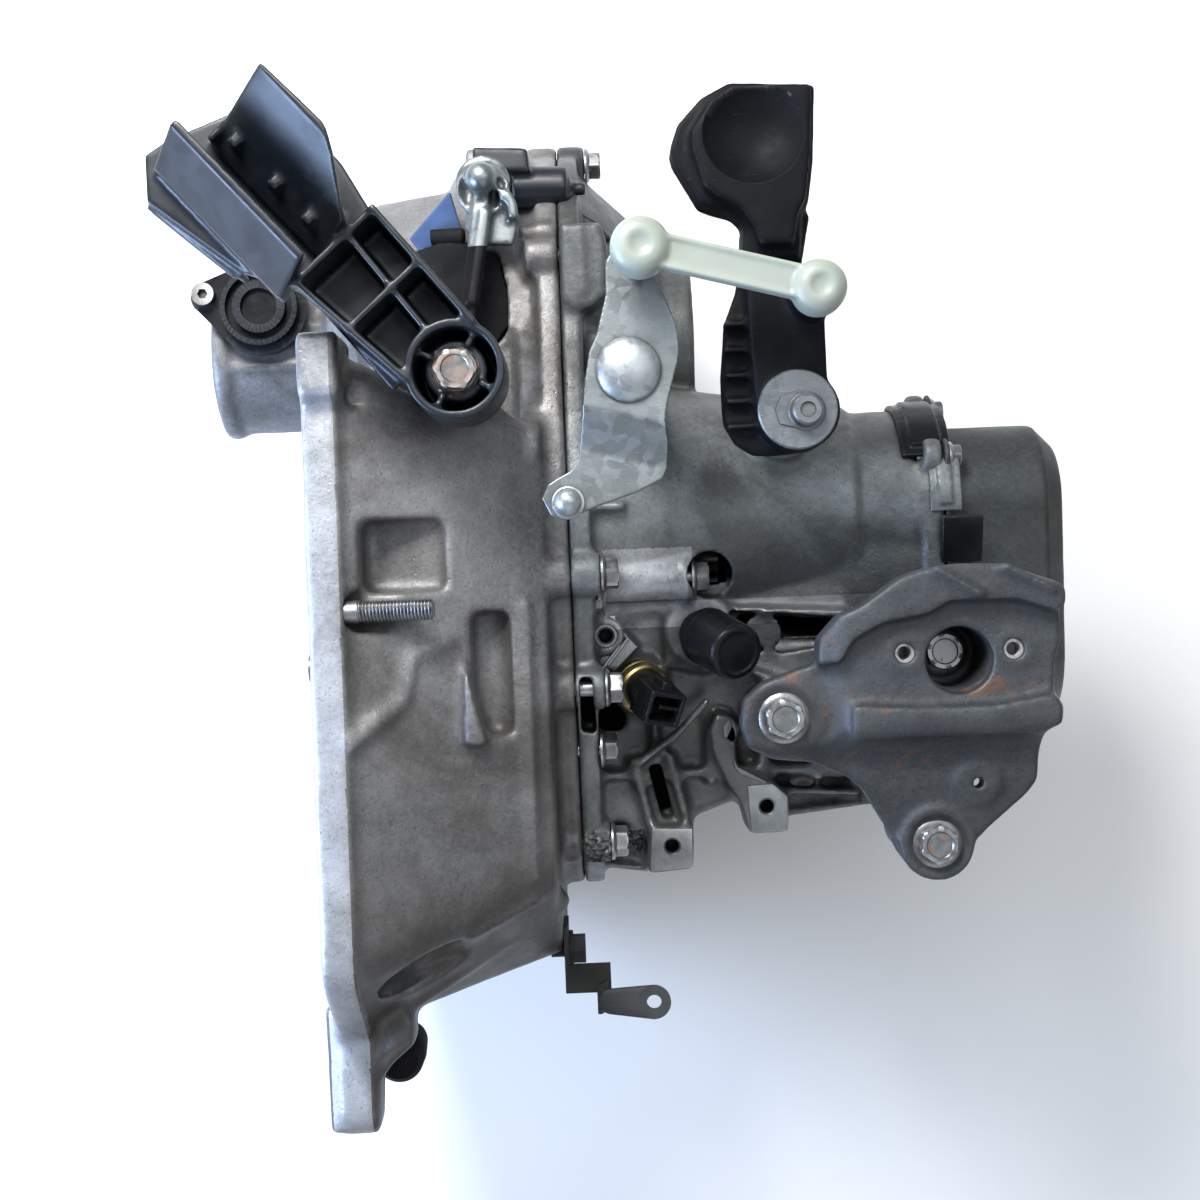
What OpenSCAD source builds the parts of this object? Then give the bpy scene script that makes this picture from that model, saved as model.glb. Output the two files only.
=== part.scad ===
// Five-speed transverse gearbox with clutch bell, differential and shift linkage.
// X runs from the engine face to the end cover, Y to the rear, Z up.
// The origin is on the input shaft's axis, in the plane of the engine face.

/* [Shaft layout] */
// Distance between the input and output shafts
shaft_gap = 71.5; // [71.5:0.1:71.8]
// Rise of the output shaft above the input shaft, in degrees
out_rise = 12.1; // [11:0.1:13]
// Distance between the output shaft and the differential
diff_gap = 97.5; // [97.5:0.1:97.8]
// Drop of the differential below the output shaft, in degrees
diff_drop = 22; // [21:0.5:23]

/* [Gears] */
// Tooth module of the five speeds
speed_m = 2.2; // [2.1:0.05:2.2]
// Tooth module of the final drive
final_m = 2.5; // [2.4:0.05:2.5]
// Width of a speed gear
gear_w = 18; // [14:1:18]
// Outer radius of a sliding sleeve
sleeve_r = 36; // [35:0.5:36]

/* [Casings] */
// Depth of the clutch bell
bell_depth = 62; // [58:1:62]
// Thickness of the engine flange
flange_t = 16; // [12:1:18]
// Radius of the dome over the crown wheel
dome_r = 88; // [87:0.5:90]
// Length of the end cover
cover_len = 61; // [60:1:64]

/* [Fasteners] */
// Radius of an engine bolt hole
engine_hole_r = 6; // [5.5:0.25:6.5]
// Radius of the two holes of the mount bracket
bracket_hole_r = 4.5; // [4:0.25:5]
// Radius of the clutch shaft's pilot end
pilot_r = 7.5; // [7:0.25:8]
// Radius of the drive shaft bores
drive_bore_r = 12; // [11:0.5:13]

/* [Hidden] */
$fn = 48;

cast = [0.55, 0.54, 0.52];
cast_dark = [0.36, 0.38, 0.35];
steel = [0.7, 0.71, 0.73];
black = [0.07, 0.07, 0.08];
zinc = [0.72, 0.73, 0.74];
brass = [0.75, 0.62, 0.33];

// Shaft centres in the Y-Z plane
inp = [0, 0];
out = [shaft_gap * cos(out_rise), shaft_gap * sin(out_rise)];
dif = [out[0] + diff_gap * cos(diff_drop), out[1] - diff_gap * sin(diff_drop)];

// Stations along X
split_x = 113;
case_end = 291;
cover_end = case_end + cover_len;
pinion_x = [84, 112];
crown_x = [88, 110];
gear_1_x = 117;
gear_2_x = 165;
gear_3_x = 188;
gear_4_x = 236;
gear_5_x = 294;
hub_12_x = 150;
hub_34_x = 221;
hub_5_x = 326;
hub_w = 12;
dog_w = 6;
ring_w = 2.4;
bearing_w = 15;
front_bearing_x = 66;
rear_bearing_x = 262;
diff_bearing_x = [44, 152];
diff_mid_x = 106;

// Teeth of each pair, input first
teeth_1 = [15, 50];
teeth_2 = [23, 42];
teeth_3 = [29, 36];
teeth_4 = [33, 32];
teeth_5 = [37, 28];
teeth_final = [17, 61];
idler_teeth = 20;

// Directions from one shaft to the next
to_out = out_rise;
to_inp = out_rise + 180;
to_dif = -diff_drop;
from_dif = 180 - diff_drop;

// Other axes
rail_12 = out + 66 * [cos(-62), sin(-62)];
rail_5 = [35, 39];
idler_c = [16, -51];
selector_c = [214.5, 106.5];
stud_c = [28, 138];
crank_c = [142, 126];
link_dx = 72.5;
link_dy = -19.5;
crank_arm = [6, 46.4];
ball_1 = crank_c + crank_arm;
ball_2 = ball_1 + [link_dx, link_dy];
link_z = 184;
clear = 0.2;
run_gap = 0.03;

// ---------- helpers ----------

// Extrudes a Y-Z outline along X from x0 to x1
module along_x(x0, x1) {
    translate([x0, 0, 0])
        rotate([90, 0, 90])
            linear_extrude(x1 - x0)
                children();
}

// Extrudes an X-Y outline along Z from z0 to z1
module along_z(z0, z1) {
    translate([0, 0, z0])
        linear_extrude(z1 - z0)
            children();
}

// Round bar along X
module rod(x0, x1, r, c = [0, 0]) {
    translate([x0, c[0], c[1]])
        rotate([0, 90, 0])
            cylinder(h = x1 - x0, r = r);
}

// Cone along X
module cone_x(x0, x1, r0, r1, c = [0, 0]) {
    translate([x0, c[0], c[1]])
        rotate([0, 90, 0])
            cylinder(h = x1 - x0, r1 = r0, r2 = r1);
}

// Round bar along Z
module post(c, z0, z1, r) {
    translate([c[0], c[1], z0])
        cylinder(h = z1 - z0, r = r);
}

// Tube along X
module tube_x(x0, x1, r, bore, c = [0, 0]) {
    difference() {
        rod(x0, x1, r, c);
        rod(x0 - 1, x1 + 1, bore, c);
    }
}

function polar(r, a) = [r * cos(a), r * sin(a)];

// Two circles and the straight band between them, set in a little so that its sides cross both circles
band_inset = 0.15;
module belt(c1, r1, c2, r2) {
    d = c2 - c1;
    a = atan2(d[1], d[0]);
    b = acos((r1 - r2) / norm(d));
    s1 = r1 - band_inset;
    s2 = r2 - band_inset;
    translate(c1)
        circle(r1);
    translate(c2)
        circle(r2);
    polygon([
        c1 + polar(s1, a + b), c2 + polar(s2, a + b),
        c2 + polar(s2, a - b), c1 + polar(s1, a - b)
    ]);
}

// Points of a closed outline with every corner rounded; each corner is [x, y, r]
function unit(v) = v / norm(v);
function corner_arc(p, c, n) =
    let (
        u = unit([p[0] - c[0], p[1] - c[1]]),
        v = unit([n[0] - c[0], n[1] - c[1]]),
        half = acos(u * v) / 2,
        reach = c[2] / tan(half),
        mid = unit(u + v),
        centre = [c[0], c[1]] + mid * (c[2] / sin(half)),
        s = [c[0], c[1]] + u * reach - centre,
        e = [c[0], c[1]] + v * reach - centre,
        a0 = atan2(s[1], s[0]),
        turn = atan2(s[0] * e[1] - s[1] * e[0], s * e)
    )
    [for (i = [0 : 5]) centre + polar(c[2], a0 + turn * i / 5)];
function rounded(q) =
    let (k = len(q))
    [for (i = [0 : k - 1]) each corner_arc(q[(i + k - 1) % k], q[i], q[(i + 1) % k])];

// Outline of a straight-toothed gear with a tooth (or a gap) centred on the angle aim
function tooth(r, m, a) =
    let (
        s = 0.215 * 180 * m,
        half = s / r,
        lean = 21 * m / r
    )
    [
        a - 1 * (half + 1.25 * lean), a - half, a - (half - 0.95 * lean),
        a + (half - 0.95 * lean), a + half, a + 1 * (half + 1.25 * lean)
    ];
function gear_outline(n, m, aim, gap) =
    let (
        r = n * m / 2,
        radii = [r - 1.25 * m, r, r + 0.9 * m, r + 0.9 * m, r, r - 1.25 * m],
        start = aim + (gap ? 180 / n : 0)
    )
    [for (i = [0 : n - 1])
        let (t = tooth(r, m, start + 360 * i / n))
        for (j = [0 : 5]) polar(radii[j], t[j])];

module gear(x0, x1, n, m, aim, gap, c) {
    translate([0, c[0], c[1]])
        along_x(x0, x1)
            polygon(gear_outline(n, m, aim, gap));
}

// Loose gear with its dog ring on one side
module loose_gear(x0, n, aim, dog_side, c, shaft_r) {
    dog_x = dog_side > 0 ? [x0 + gear_w, x0 + gear_w + dog_w] : [x0 - dog_w, x0];
    difference() {
        union() {
            gear(x0, x0 + gear_w, n, speed_m, aim, true, c);
            gear(dog_x[0] - 0.01, dog_x[1] + 0.01, 32, 1.55, 0, false, c);
        }
        rod(x0 - 20, x0 + 40, shaft_r + run_gap + 0.2, c);
    }
}

// Synchro hub with outer splines
module hub(x, shaft_r, c) {
    difference() {
        gear(x - hub_w / 2, x + hub_w / 2, 32, 1.55, 0, false, c);
        rod(x - 20, x + 20, shaft_r, c);
    }
}

// Sliding sleeve with a fork groove
module sleeve(x, c) {
    difference() {
        rod(x - 7, x + 7, sleeve_r, c);
        rod(x - 8, x + 8, 26.9, c);
        difference() {
            rod(x - 3, x + 3, sleeve_r + 1, c);
            rod(x - 4, x + 4, sleeve_r - 4, c);
        }
    }
}

// Brass baulk ring
module baulk_ring(x, c) {
    tube_x(x, x + ring_w, 25.8, 19, c);
}

// Outer ring and balls of a ball bearing
module bearing_outer(x0, r_in, r_out, c) {
    mid = (r_in + r_out) / 2;
    ball = (r_out - r_in) * 0.29;
    lip = (r_out - r_in) * 0.2;
    translate([x0 + bearing_w / 2, c[0], c[1]])
        rotate([0, 90, 0]) {
            rotate_extrude()
                difference() {
                    translate([mid + lip, -bearing_w / 2])
                        square([r_out - mid - lip, bearing_w]);
                    translate([mid, 0])
                        circle(ball + clear);
                }
            for (i = [0 : 8])
                rotate([0, 0, i * 40])
                    translate([mid, 0, 0])
                        sphere(ball);
        }
}

// Inner ring of a ball bearing
module bearing_inner(x0, r_in, r_out, c) {
    mid = (r_in + r_out) / 2;
    ball = (r_out - r_in) * 0.29;
    lip = (r_out - r_in) * 0.2;
    translate([x0 + bearing_w / 2, c[0], c[1]])
        rotate([0, 90, 0])
            rotate_extrude()
                difference() {
                    translate([r_in, -bearing_w / 2])
                        square([mid - lip - r_in, bearing_w]);
                    translate([mid, 0])
                        circle(ball + clear);
                }
}

// Hexagon bolt along +Z with its seat at the origin: flange, head and shank below
module hex_bolt(af, head_h, flange_r, shank_r, shank_l) {
    cylinder(h = 2, r = flange_r);
    cylinder(h = head_h, r = af / 2 / cos(30), $fn = 6);
    translate([0, 0, -shank_l])
        cylinder(h = shank_l + 0.5, r = shank_r);
}

// ---------- casing outlines ----------

bell_front = [
    [142, 140, 10], [-128, 146, 26], [-160, 104, 26], [-166, -20, 60], [-128, -112, 50],
    [-40, -152, 50], [60, -146, 50], [116, -92, 36], [118, 70, 30], [136, 96, 12]
];
bell_back = [
    [118, 96, 20], [-100, 102, 22], [-140, 40, 26], [-152, -30, 34], [-106, -96, 36],
    [-30, -112, 40], [60, -112, 36], [108, -80, 28]
];
engine_hole = [132, 112];
engine_holes = [for (y = [-1, 1]) for (z = [-1, 1]) [y * engine_hole[0], z * engine_hole[1]]];
lobe_c = [-52, -8];

// Outline of both castings where they meet
module split_outline(grow) {
    belt(lobe_c, 54 + grow, inp, 64 + grow);
    belt(inp, 64 + grow, out, 70 + grow);
    belt(out, 70 + grow, dif, dome_r + grow);
}

// Bolts that hold the castings together, seated on the gear case flange
split_bolts = [
    lobe_c + polar(59, 128), lobe_c + polar(59, 215), [-30, -71], dif + polar(92, 70),
    dif + polar(92, 5), dif + polar(92, 300), dif + polar(92, 245), [41, 88], [-12, 74]
];

// Space for the gears
module gear_room(x0, x1) {
    rod(x0, x1, 52, inp);
    rod(x0, x1, 62, out);
    along_x(x0, x1)
        polygon([[-8, -51], [20, 44], [70, 74], [120, 45], [120, -45], [60, -46], [30, -84], [-10, -82]]);
}

module housing_outer() {
    hull() {
        along_x(12, 14)
            polygon(rounded(bell_front));
        along_x(100, 102)
            polygon(rounded(bell_back));
    }
    along_x(0, flange_t)
        union() {
            polygon(rounded([for (p = bell_front) [p[0] * 1.03, p[1] * 1.02, p[2]]]));
            for (h = engine_holes)
                belt(h, 16, 0.8 * h, 26);
            // Ear for the starter, below the front edge
            belt([-196, 92], 14, [-150, 78], 26);
        }
    along_x(split_x - 11, split_x)
        split_outline(8);
    along_x(60, split_x - 10)
        split_outline(0);
    // Differential housing and its output tube
    cone_x(20, 104, dome_r - 12, dome_r - 1, dif);
    cone_x(-4, 21, 44, dome_r - 12, dif);
    rod(-63, 0, 38, dif);
    // Square corner of the engine flange at the top rear
    along_x(0, flange_t + 2)
        polygon(rounded([[149, 150, 4], [120, 152, 4], [120, 104, 4], [149, 104, 4]]));
    // Seat of the cable bracket
    post(bracket_c, 40, 129.9, 15);
    // Seat of the release lever's dust cover
    post([-36, 180], -10, 17, 21);
    post([-63, 187], -25, 17, 7);
    // Rib along the foot of the front slope
    hull() {
        translate([16, -160, 96])
            sphere(5, $fn = 16);
        translate([102, -110, 76])
            sphere(5, $fn = 16);
    }
    // Bosses of the case bolts
    for (b = split_bolts)
        rod(split_x - 16, split_x, 10, b);
    // Block at the rear of the release lever
    along_x(68, 98)
        polygon(rounded([[214, -18, 5], [254, -20, 5], [256, 22, 5], [214, 26, 5]]));
}

module clutch_housing() {
    color(cast)
    difference() {
        housing_outer();
        // Clutch space, which runs back around the gear housing to the bell's rear wall
        difference() {
            hull() {
                along_x(-2, -1)
                    scale(0.945)
                        polygon(rounded(bell_front));
                along_x(92, 93)
                    scale(0.925)
                        polygon(rounded(bell_back));
            }
            along_x(bell_depth, split_x)
                split_outline(0);
            cone_x(20, 104, dome_r - 12, dome_r - 1, dif);
            post(bracket_c, 40, 129.9, 15);
            for (h = engine_holes)
                rod(-3, flange_t, 15, h);
            // Floors of the roof pockets
            translate([14, 28, 104])
                cube([52, 48, 50]);
            translate([60, -38, 84])
                cube([32, 72, 44]);
        }
        gear_room(82, split_x + 1);
        // Crown wheel space, bearing seat and output tube
        rod(78, split_x + 1, 82, dif);
        rod(60, 79, 56, dif);
        rod(diff_bearing_x[0], 61, 34.05, dif);
        rod(-64, diff_bearing_x[0] + 1, 24, dif);
        rod(-64, -52, 30.05, dif);
        rod(-36, -20, 24, dif);
        // Bearing seats and shaft holes in the partition
        rod(front_bearing_x, 83, 26.05, inp);
        rod(50, 90, 20.05, inp);
        rod(front_bearing_x, 83, 28.05, out);
        // Idler shaft seat
        rod(70, 90, 8, idler_c);
        for (h = engine_holes)
            rod(-1, flange_t + 1, engine_hole_r, h);
        for (h = engine_holes)
            rod(flange_t, 60, 12, h);
        for (b = split_bolts)
            rod(split_x - 14, split_x + 1, 4, b);
        // Window for the release lever
        translate([56, 96, 66])
            cube([36, 62, 30]);
        translate([54, 92, 44])
            cube([16, 36, 52]);
        // Seats of the stud, the bracket bolt, the lever pivot and the dust cover
        rod(8, 18, 5, stud_c);
        post(bracket_c, 96, 131, 5);
        rod(52, front_bearing_x, 4, [78, 40]);
        post([-36, 180], -30, 18, 15);
        post([-63, 187], -9, 18, 2.6);
        // Pockets in the roof and a trough under the stud
        translate([22, 36, 114])
            cube([36, 32, 40]);
        translate([68, -30, 96])
            cube([17, 56, 40]);
        translate([flange_t, 19, 130])
            cube([26, 18, 30]);
        // Flat for the hanger bracket
        rod(94, 106, 4.1, [-142, 26]);
    }
}

// ---------- gear case ----------

bracket_feet = [[206, -27], [274, -87], [284, -1]];
feet_z = [70, 62, 66];
deck_bosses = [[128, 12], [156, -91], [202, -73]];
deck_z = [68, 46, 52];
switch_c = [143, -12];
breather_c = [176, 8];
cover_screws = [[-38, 42], [-49, -27], [20, -52], [78, -30], [116, 12], [91, 55]];

front_bay = [
    [[-98, 34, 10], [-102, -46, 20], [0, -72, 20], [0, 44, 10]],
    [[-52, 34, 10], [-54, -36, 16], [0, -50, 20], [0, 44, 10]]
];
lower_bay = [
    [[-24, -40, 10], [-8, -94, 16], [90, -98, 16], [126, -40, 10]],
    [[-10, -30, 10], [10, -62, 16], [108, -64, 16], [118, -20, 10]]
];

// The same outline with walls taken off
function inside(q, mid, k) = [for (p = q) [mid[0] + (p[0] - mid[0]) * k, mid[1] + (p[1] - mid[1]) * k, p[2] * k]];

module case_outer() {
    along_x(split_x, split_x + 10)
        split_outline(8);
    // Rounded body over the input shaft and the tapered one over the output shaft
    along_x(split_x, case_end)
        belt(inp, 52, out, 45);
    cone_x(split_x, 250, 70, 50, out);
    rod(249, case_end, 47, out);
    rod(split_x, rear_bearing_x + 14, 16, rail_12);
    // Dome of the differential and its output tube
    rod(split_x, 122, dome_r, dif);
    cone_x(122, 160, dome_r, 52, dif);
    rod(158, 178, 42, dif);
    // Front and lower bays
    hull() {
        along_x(split_x, 115)
            polygon(rounded(front_bay[0]));
        along_x(240, 244)
            polygon(rounded(front_bay[1]));
    }
    hull() {
        along_x(split_x, 115)
            polygon(rounded(lower_bay[0]));
        along_x(246, 250)
            polygon(rounded(lower_bay[1]));
    }
    post([135, 28], -97, -70, 14);
    along_x(case_end - 9, case_end)
        union() {
            belt(inp, 54, out, 48);
            for (s = cover_screws)
                translate(s)
                    circle(9);
        }
    // Feet of the mount bracket
    for (i = [0 : 2])
        post(bracket_feet[i], feet_z[i] - 38, feet_z[i], 13);
    translate([267, -86, 24])
        cube([14, 60, 30]);
    // Bosses on the deck
    for (i = [0 : 2])
        post(deck_bosses[i], 0, deck_z[i], 9);
    translate([153, -90, 0])
        cube([6, 60, 38]);
    translate([199, -72, 0])
        cube([6, 50, 42]);
    post(switch_c, 30, 58, 13);
    post(breather_c, 30, 66, 11);
    // Bosses of the bolts that lie along the case
    rod(123, 173, 10, [41, 66]);
    rod(split_x, 126, 9, [-12, 62]);
    // Tower of the selector shaft and pillar of the bellcrank
    post(selector_c, 30, 128, 15);
    post([selector_c[0], selector_c[1] + 3], 30, 54, 22);
    post(crank_c, 10, 122, 15);
    // Ribs
    for (x = [150, 176, 202, 228])
        translate([x - 2, -62, 0])
            cube([4, 66, 46]);
    translate([split_x, -58, 30])
        cube([130, 4, 16]);
    translate([split_x, 70, 60])
        cube([26, 4, 28]);
    for (b = split_bolts)
        rod(split_x, split_x + 14, 10, b);
}

module gear_case() {
    color(cast_dark)
    difference() {
        case_outer();
        gear_room(split_x - 1, 136);
        // Space that narrows toward the end wall
        cone_x(135, rear_bearing_x - 6, 62, 45, out);
        rod(135, rear_bearing_x - 6, 46, inp);
        rod(135, rear_bearing_x - 6, 12.5, rail_12);
        rod(split_x - 1, rear_bearing_x + 12, 6, rail_12);
        translate([135, out[0], out[1]])
            rotate([-62, 0, 0])
                translate([0, 30, -11])
                    cube([rear_bearing_x - 141, 36, 22]);
        along_x(135, rear_bearing_x - 6)
            polygon([[0, -30], [0, 44], [60, 55], [60, -36]]);
        // Sump
        hull() {
            along_x(split_x - 1, split_x)
                polygon(rounded(inside(front_bay[0], [-40, -12], 0.88)));
            along_x(236, 237)
                polygon(rounded(inside(front_bay[1], [-22, -6], 0.84)));
        }
        hull() {
            along_x(split_x - 1, split_x)
                polygon(rounded(inside(lower_bay[0], [46, -60], 0.86)));
            along_x(242, 243)
                polygon(rounded(inside(lower_bay[1], [56, -40], 0.8)));
        }
        // Room of the selector finger
        post([selector_c[0], selector_c[1] + 3], 33, 48, 17);
        post(selector_c, 40, 129, 7.05);
        // Crown wheel and differential
        rod(split_x - 1, 120, 82, dif);
        cone_x(119, 152, 82, 50, dif);
        rod(diff_bearing_x[1], diff_bearing_x[1] + bearing_w, 34.05, dif);
        rod(160, 180, 24, dif);
        rod(170, 180, 30.05, dif);
        // Rear bearings and shaft holes
        rod(rear_bearing_x - 7, rear_bearing_x + bearing_w, 28.05, inp);
        rod(rear_bearing_x - 7, rear_bearing_x + bearing_w, 28.05, out);
        rod(rear_bearing_x, case_end + 1, 20, inp);
        rod(rear_bearing_x, case_end + 1, 20, out);
        rod(rear_bearing_x + 4, case_end + 1, 5, rail_5);
        rod(split_x - 1, 172, 8, idler_c);
        rod(137, 155, 24.8, idler_c);
        // Flat seats of the case bolts and of the end cover
        for (b = split_bolts)
            rod(split_x + 14, split_x + 24, 9.2, b);
        translate([case_end, -100, -100])
            cube([40, 260, 190]);
        // Screw holes
        for (i = [0 : 2])
            post(bracket_feet[i], feet_z[i] - 24, feet_z[i] + 1, 5);
        for (i = [0 : 2])
            post(deck_bosses[i], deck_z[i] - 18, deck_z[i] + 1, 3.4);
        for (b = split_bolts)
            rod(split_x - 1, split_x + 15, 4.5, b);
        for (s = cover_screws)
            rod(case_end - 14, case_end + 1, 3, s);
        post(switch_c, 34, 59, 7);
        post(breather_c, 40, 67, 4);
        post(crank_c, 96, 123, 6);
        rod(172, 174, 4, [41, 66]);
    }
}

module end_cover() {
    color([0.3, 0.32, 0.3])
    difference() {
        union() {
            along_x(case_end + 0.5, case_end + 3.5)
                union() {
                    belt(inp, 53, out, 47);
                    for (s = cover_screws)
                        translate(s)
                            circle(9);
                }
            along_x(case_end + 3, cover_end - 10)
                belt(inp, 47, out, 37.5);
            hull() {
                along_x(cover_end - 11, cover_end - 10)
                    belt(inp, 46.5, out, 37);
                along_x(cover_end - 1, cover_end)
                    belt(inp, 36, out, 27);
            }
        }
        along_x(case_end, cover_end - 11)
            belt(inp, 44.5, out, 35.3);
        hull() {
            along_x(cover_end - 12, cover_end - 10.6)
                belt(inp, 44, out, 34.8);
            along_x(cover_end - 3.5, cover_end - 2.5)
                belt(inp, 34, out, 25);
        }
        for (s = cover_screws)
            rod(case_end, case_end + 5, 3.4, s);
    }
}

module case_bolts() {
    color(steel)
    for (b = split_bolts)
        translate([split_x + 14, b[0], b[1]])
            rotate([0, 90, 0])
                hex_bolt(13, 8, 9, 3.9, 26);
}

module cover_bolts() {
    color(steel)
    for (s = cover_screws)
        translate([case_end + 3.5, s[0], s[1]])
            rotate([0, 90, 0])
                hex_bolt(10, 6, 7, 2.9, 15);
}

module release_guide() {
    color(steel) {
        tube_x(20, 62, 17, 14.5);
        difference() {
            rod(58, 61.9, 34);
            rod(57, 63, 14.5);
        }
    }
}

module oil_seals() {
    color(black) {
        tube_x(-61, -53, 30, 16.5, dif);
        tube_x(171, 178, 30, 16.5, dif);
        tube_x(63, 65.8, 20, 13);
    }
}

module input_bearings() {
    color(steel) {
        bearing_outer(front_bearing_x, 12.5, 26, inp);
        bearing_outer(rear_bearing_x, 12.5, 28, inp);
    }
}

module input_inner_rings() {
    color(steel) {
        bearing_inner(front_bearing_x, 12.5, 26, inp);
        bearing_inner(rear_bearing_x, 12.5, 28, inp);
    }
}

module output_bearings() {
    color(steel) {
        bearing_outer(front_bearing_x, 14, 28, out);
        bearing_outer(rear_bearing_x, 12.5, 28, out);
    }
}

module output_inner_rings() {
    color(steel) {
        bearing_inner(front_bearing_x, 14, 28, out);
        bearing_inner(rear_bearing_x, 12.5, 28, out);
    }
}

module diff_bearings() {
    color(steel)
    for (x = diff_bearing_x)
        bearing_outer(x, 20, 34, dif);
}

module diff_inner_rings() {
    color(steel)
    for (x = diff_bearing_x)
        bearing_inner(x, 20, 34, dif);
}

module fork_rails() {
    color(steel) {
        rod(split_x + 2, 273, 5.95, rail_12);
        rod(rear_bearing_x + 5, 341, 4.95, rail_5);
    }
}

module reverse_idler_shaft() {
    color(steel)
    rod(72, 170, 7.95, idler_c);
}

// ---------- shafts and gears ----------

module input_shaft() {
    color(steel)
    difference() {
        union() {
            rod(-22, -8, pilot_r);
            gear(-8, 26, 20, 1.05, 0, false, inp);
            rod(25.5, 66, 10.5);
            rod(65, 84, 12.45);
            rod(83, 138, 13.5);
            gear(gear_1_x, gear_1_x + gear_w, teeth_1[0], speed_m, to_out, false, inp);
            gear(140, 154, 13, speed_m, 0, false, inp);
            rod(137, 186, 13.5);
            gear(gear_2_x, gear_2_x + gear_w, teeth_2[0], speed_m, to_out, false, inp);
            rod(185, 261, 13.5);
            rod(260, 293, 12.45);
            rod(292, 334, 11.5);
            rod(333.5, 340, 13, inp, $fn = 6);
            rod(339, 343, 9);
        }
        rod(-23, 12, 2);
    }
}

module input_gear_3_4() {
    color(steel)
    difference() {
        union() {
            gear(gear_3_x, gear_3_x + gear_w, teeth_3[0], speed_m, to_out, false, inp);
            rod(gear_3_x + gear_w - 1, gear_4_x + 1, 21);
            gear(gear_4_x, gear_4_x + gear_w, teeth_4[0], speed_m, to_out, false, inp);
        }
        rod(180, 260, 13.5);
    }
}

module hub_5() {
    color(steel) {
        hub(hub_5_x, 11.5, inp);
        color(brass)
            baulk_ring(hub_5_x - hub_w / 2 - 0.3 - ring_w, inp);
    }
}

module output_shaft() {
    color(steel) {
        rod(66, 84, 13.95, out);
        rod(83, 113, 15, out);
        gear(pinion_x[0], pinion_x[1], teeth_final[0], final_m, to_dif, false, out);
        rod(112, 262, 15, out);
        rod(261, 293, 12.45, out);
        rod(292, 312, 11, out);
        rod(311.5, 317, 13, out, $fn = 6);
    }
}

module output_gear_5() {
    color(steel)
    difference() {
        gear(gear_5_x, gear_5_x + 17, teeth_5[1], speed_m, to_inp, false, out);
        rod(290, 320, 11, out);
    }
}

module synchro_hubs() {
    color(steel) {
        hub(hub_12_x, 15, out);
        hub(hub_34_x, 15, out);
    }
}

module synchro_rings() {
    color(brass)
    for (x = [hub_12_x, hub_34_x]) {
        baulk_ring(x - hub_w / 2 - 0.3 - ring_w, out);
        baulk_ring(x + hub_w / 2 + 0.3, out);
    }
}

module first_gear() {
    color(steel)
    loose_gear(gear_1_x, teeth_1[1], to_inp, 1, out, 15);
}

module second_gear() {
    color(steel)
    loose_gear(gear_2_x, teeth_2[1], to_inp, -1, out, 15);
}

module third_gear() {
    color(steel)
    loose_gear(gear_3_x, teeth_3[1], to_inp, 1, out, 15);
}

module fourth_gear() {
    color(steel)
    loose_gear(gear_4_x, teeth_4[1], to_inp, -1, out, 15);
}

module fifth_gear() {
    color(steel)
    loose_gear(gear_5_x - 1, teeth_5[0], to_out, 1, inp, 11.5);
}

module sleeve_1_2() {
    color(steel)
    sleeve(hub_12_x, out);
}

module sleeve_3_4() {
    color(steel)
    sleeve(hub_34_x, out);
}

module sleeve_5() {
    color(steel)
    sleeve(hub_5_x, inp);
}

// Shift fork: half ring in the groove, an arm and a sleeve on the rail
module fork(x, c, rail, rail_r, from, to) {
    d = rail - c;
    a = atan2(d[1], d[0]);
    difference() {
        union() {
            along_x(x - 2.8, x + 2.8)
                intersection() {
                    translate(c)
                        circle(42);
                    translate(c)
                        polygon([[0, 0], polar(90, from), polar(90, (from + to) / 2), polar(90, to)]);
                }
            along_x(x - 2.8, x + 2.8)
                translate(c)
                    rotate(a)
                        translate([36, -7])
                            square([norm(d) - 36, 14]);
            rod(x - 6, x + 6, rail_r + 3, rail);
        }
        rod(x - 4, x + 4, sleeve_r - 3.6, c);
        rod(x - 12, x + 12, rail_r + 0.03, rail);
    }
}

module fork_1_2() {
    color(brass)
    fork(hub_12_x, out, rail_12, 5.95, -132, 20);
}

module fork_3_4() {
    color(brass)
    fork(hub_34_x, out, rail_12, 5.95, -132, 20);
}

module fork_5() {
    color(brass)
    fork(hub_5_x, inp, rail_5, 4.95, 0, 120);
}

module reverse_idler() {
    color(steel)
    difference() {
        gear(139, 153, idler_teeth, speed_m, 0, false, idler_c);
        rod(138, 154, 8.02, idler_c);
    }
}

// ---------- differential ----------

module diff_case() {
    color(cast_dark)
    difference() {
        union() {
            rod(diff_bearing_x[0], 64, 19.95, dif);
            cone_x(62, 72, 26, 44, dif);
            rod(71, 115, 44, dif);
            rod(114, 140, 39.4, dif);
            cone_x(139, 151, 39.4, 26, dif);
            rod(150, 168, 19.95, dif);
            rod(crown_x[0] - 8, crown_x[0], 58, dif);
        }
        rod(40, 170, 14, dif);
        rod(diff_mid_x - 29, diff_mid_x + 29, 30, dif);
        // Windows for assembly
        translate([diff_mid_x - 20, dif[0] - 60, dif[1] - 22])
            cube([40, 120, 44]);
        post([diff_mid_x, dif[0]], dif[1] - 60, dif[1] + 60, 7);
    }
}

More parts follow.
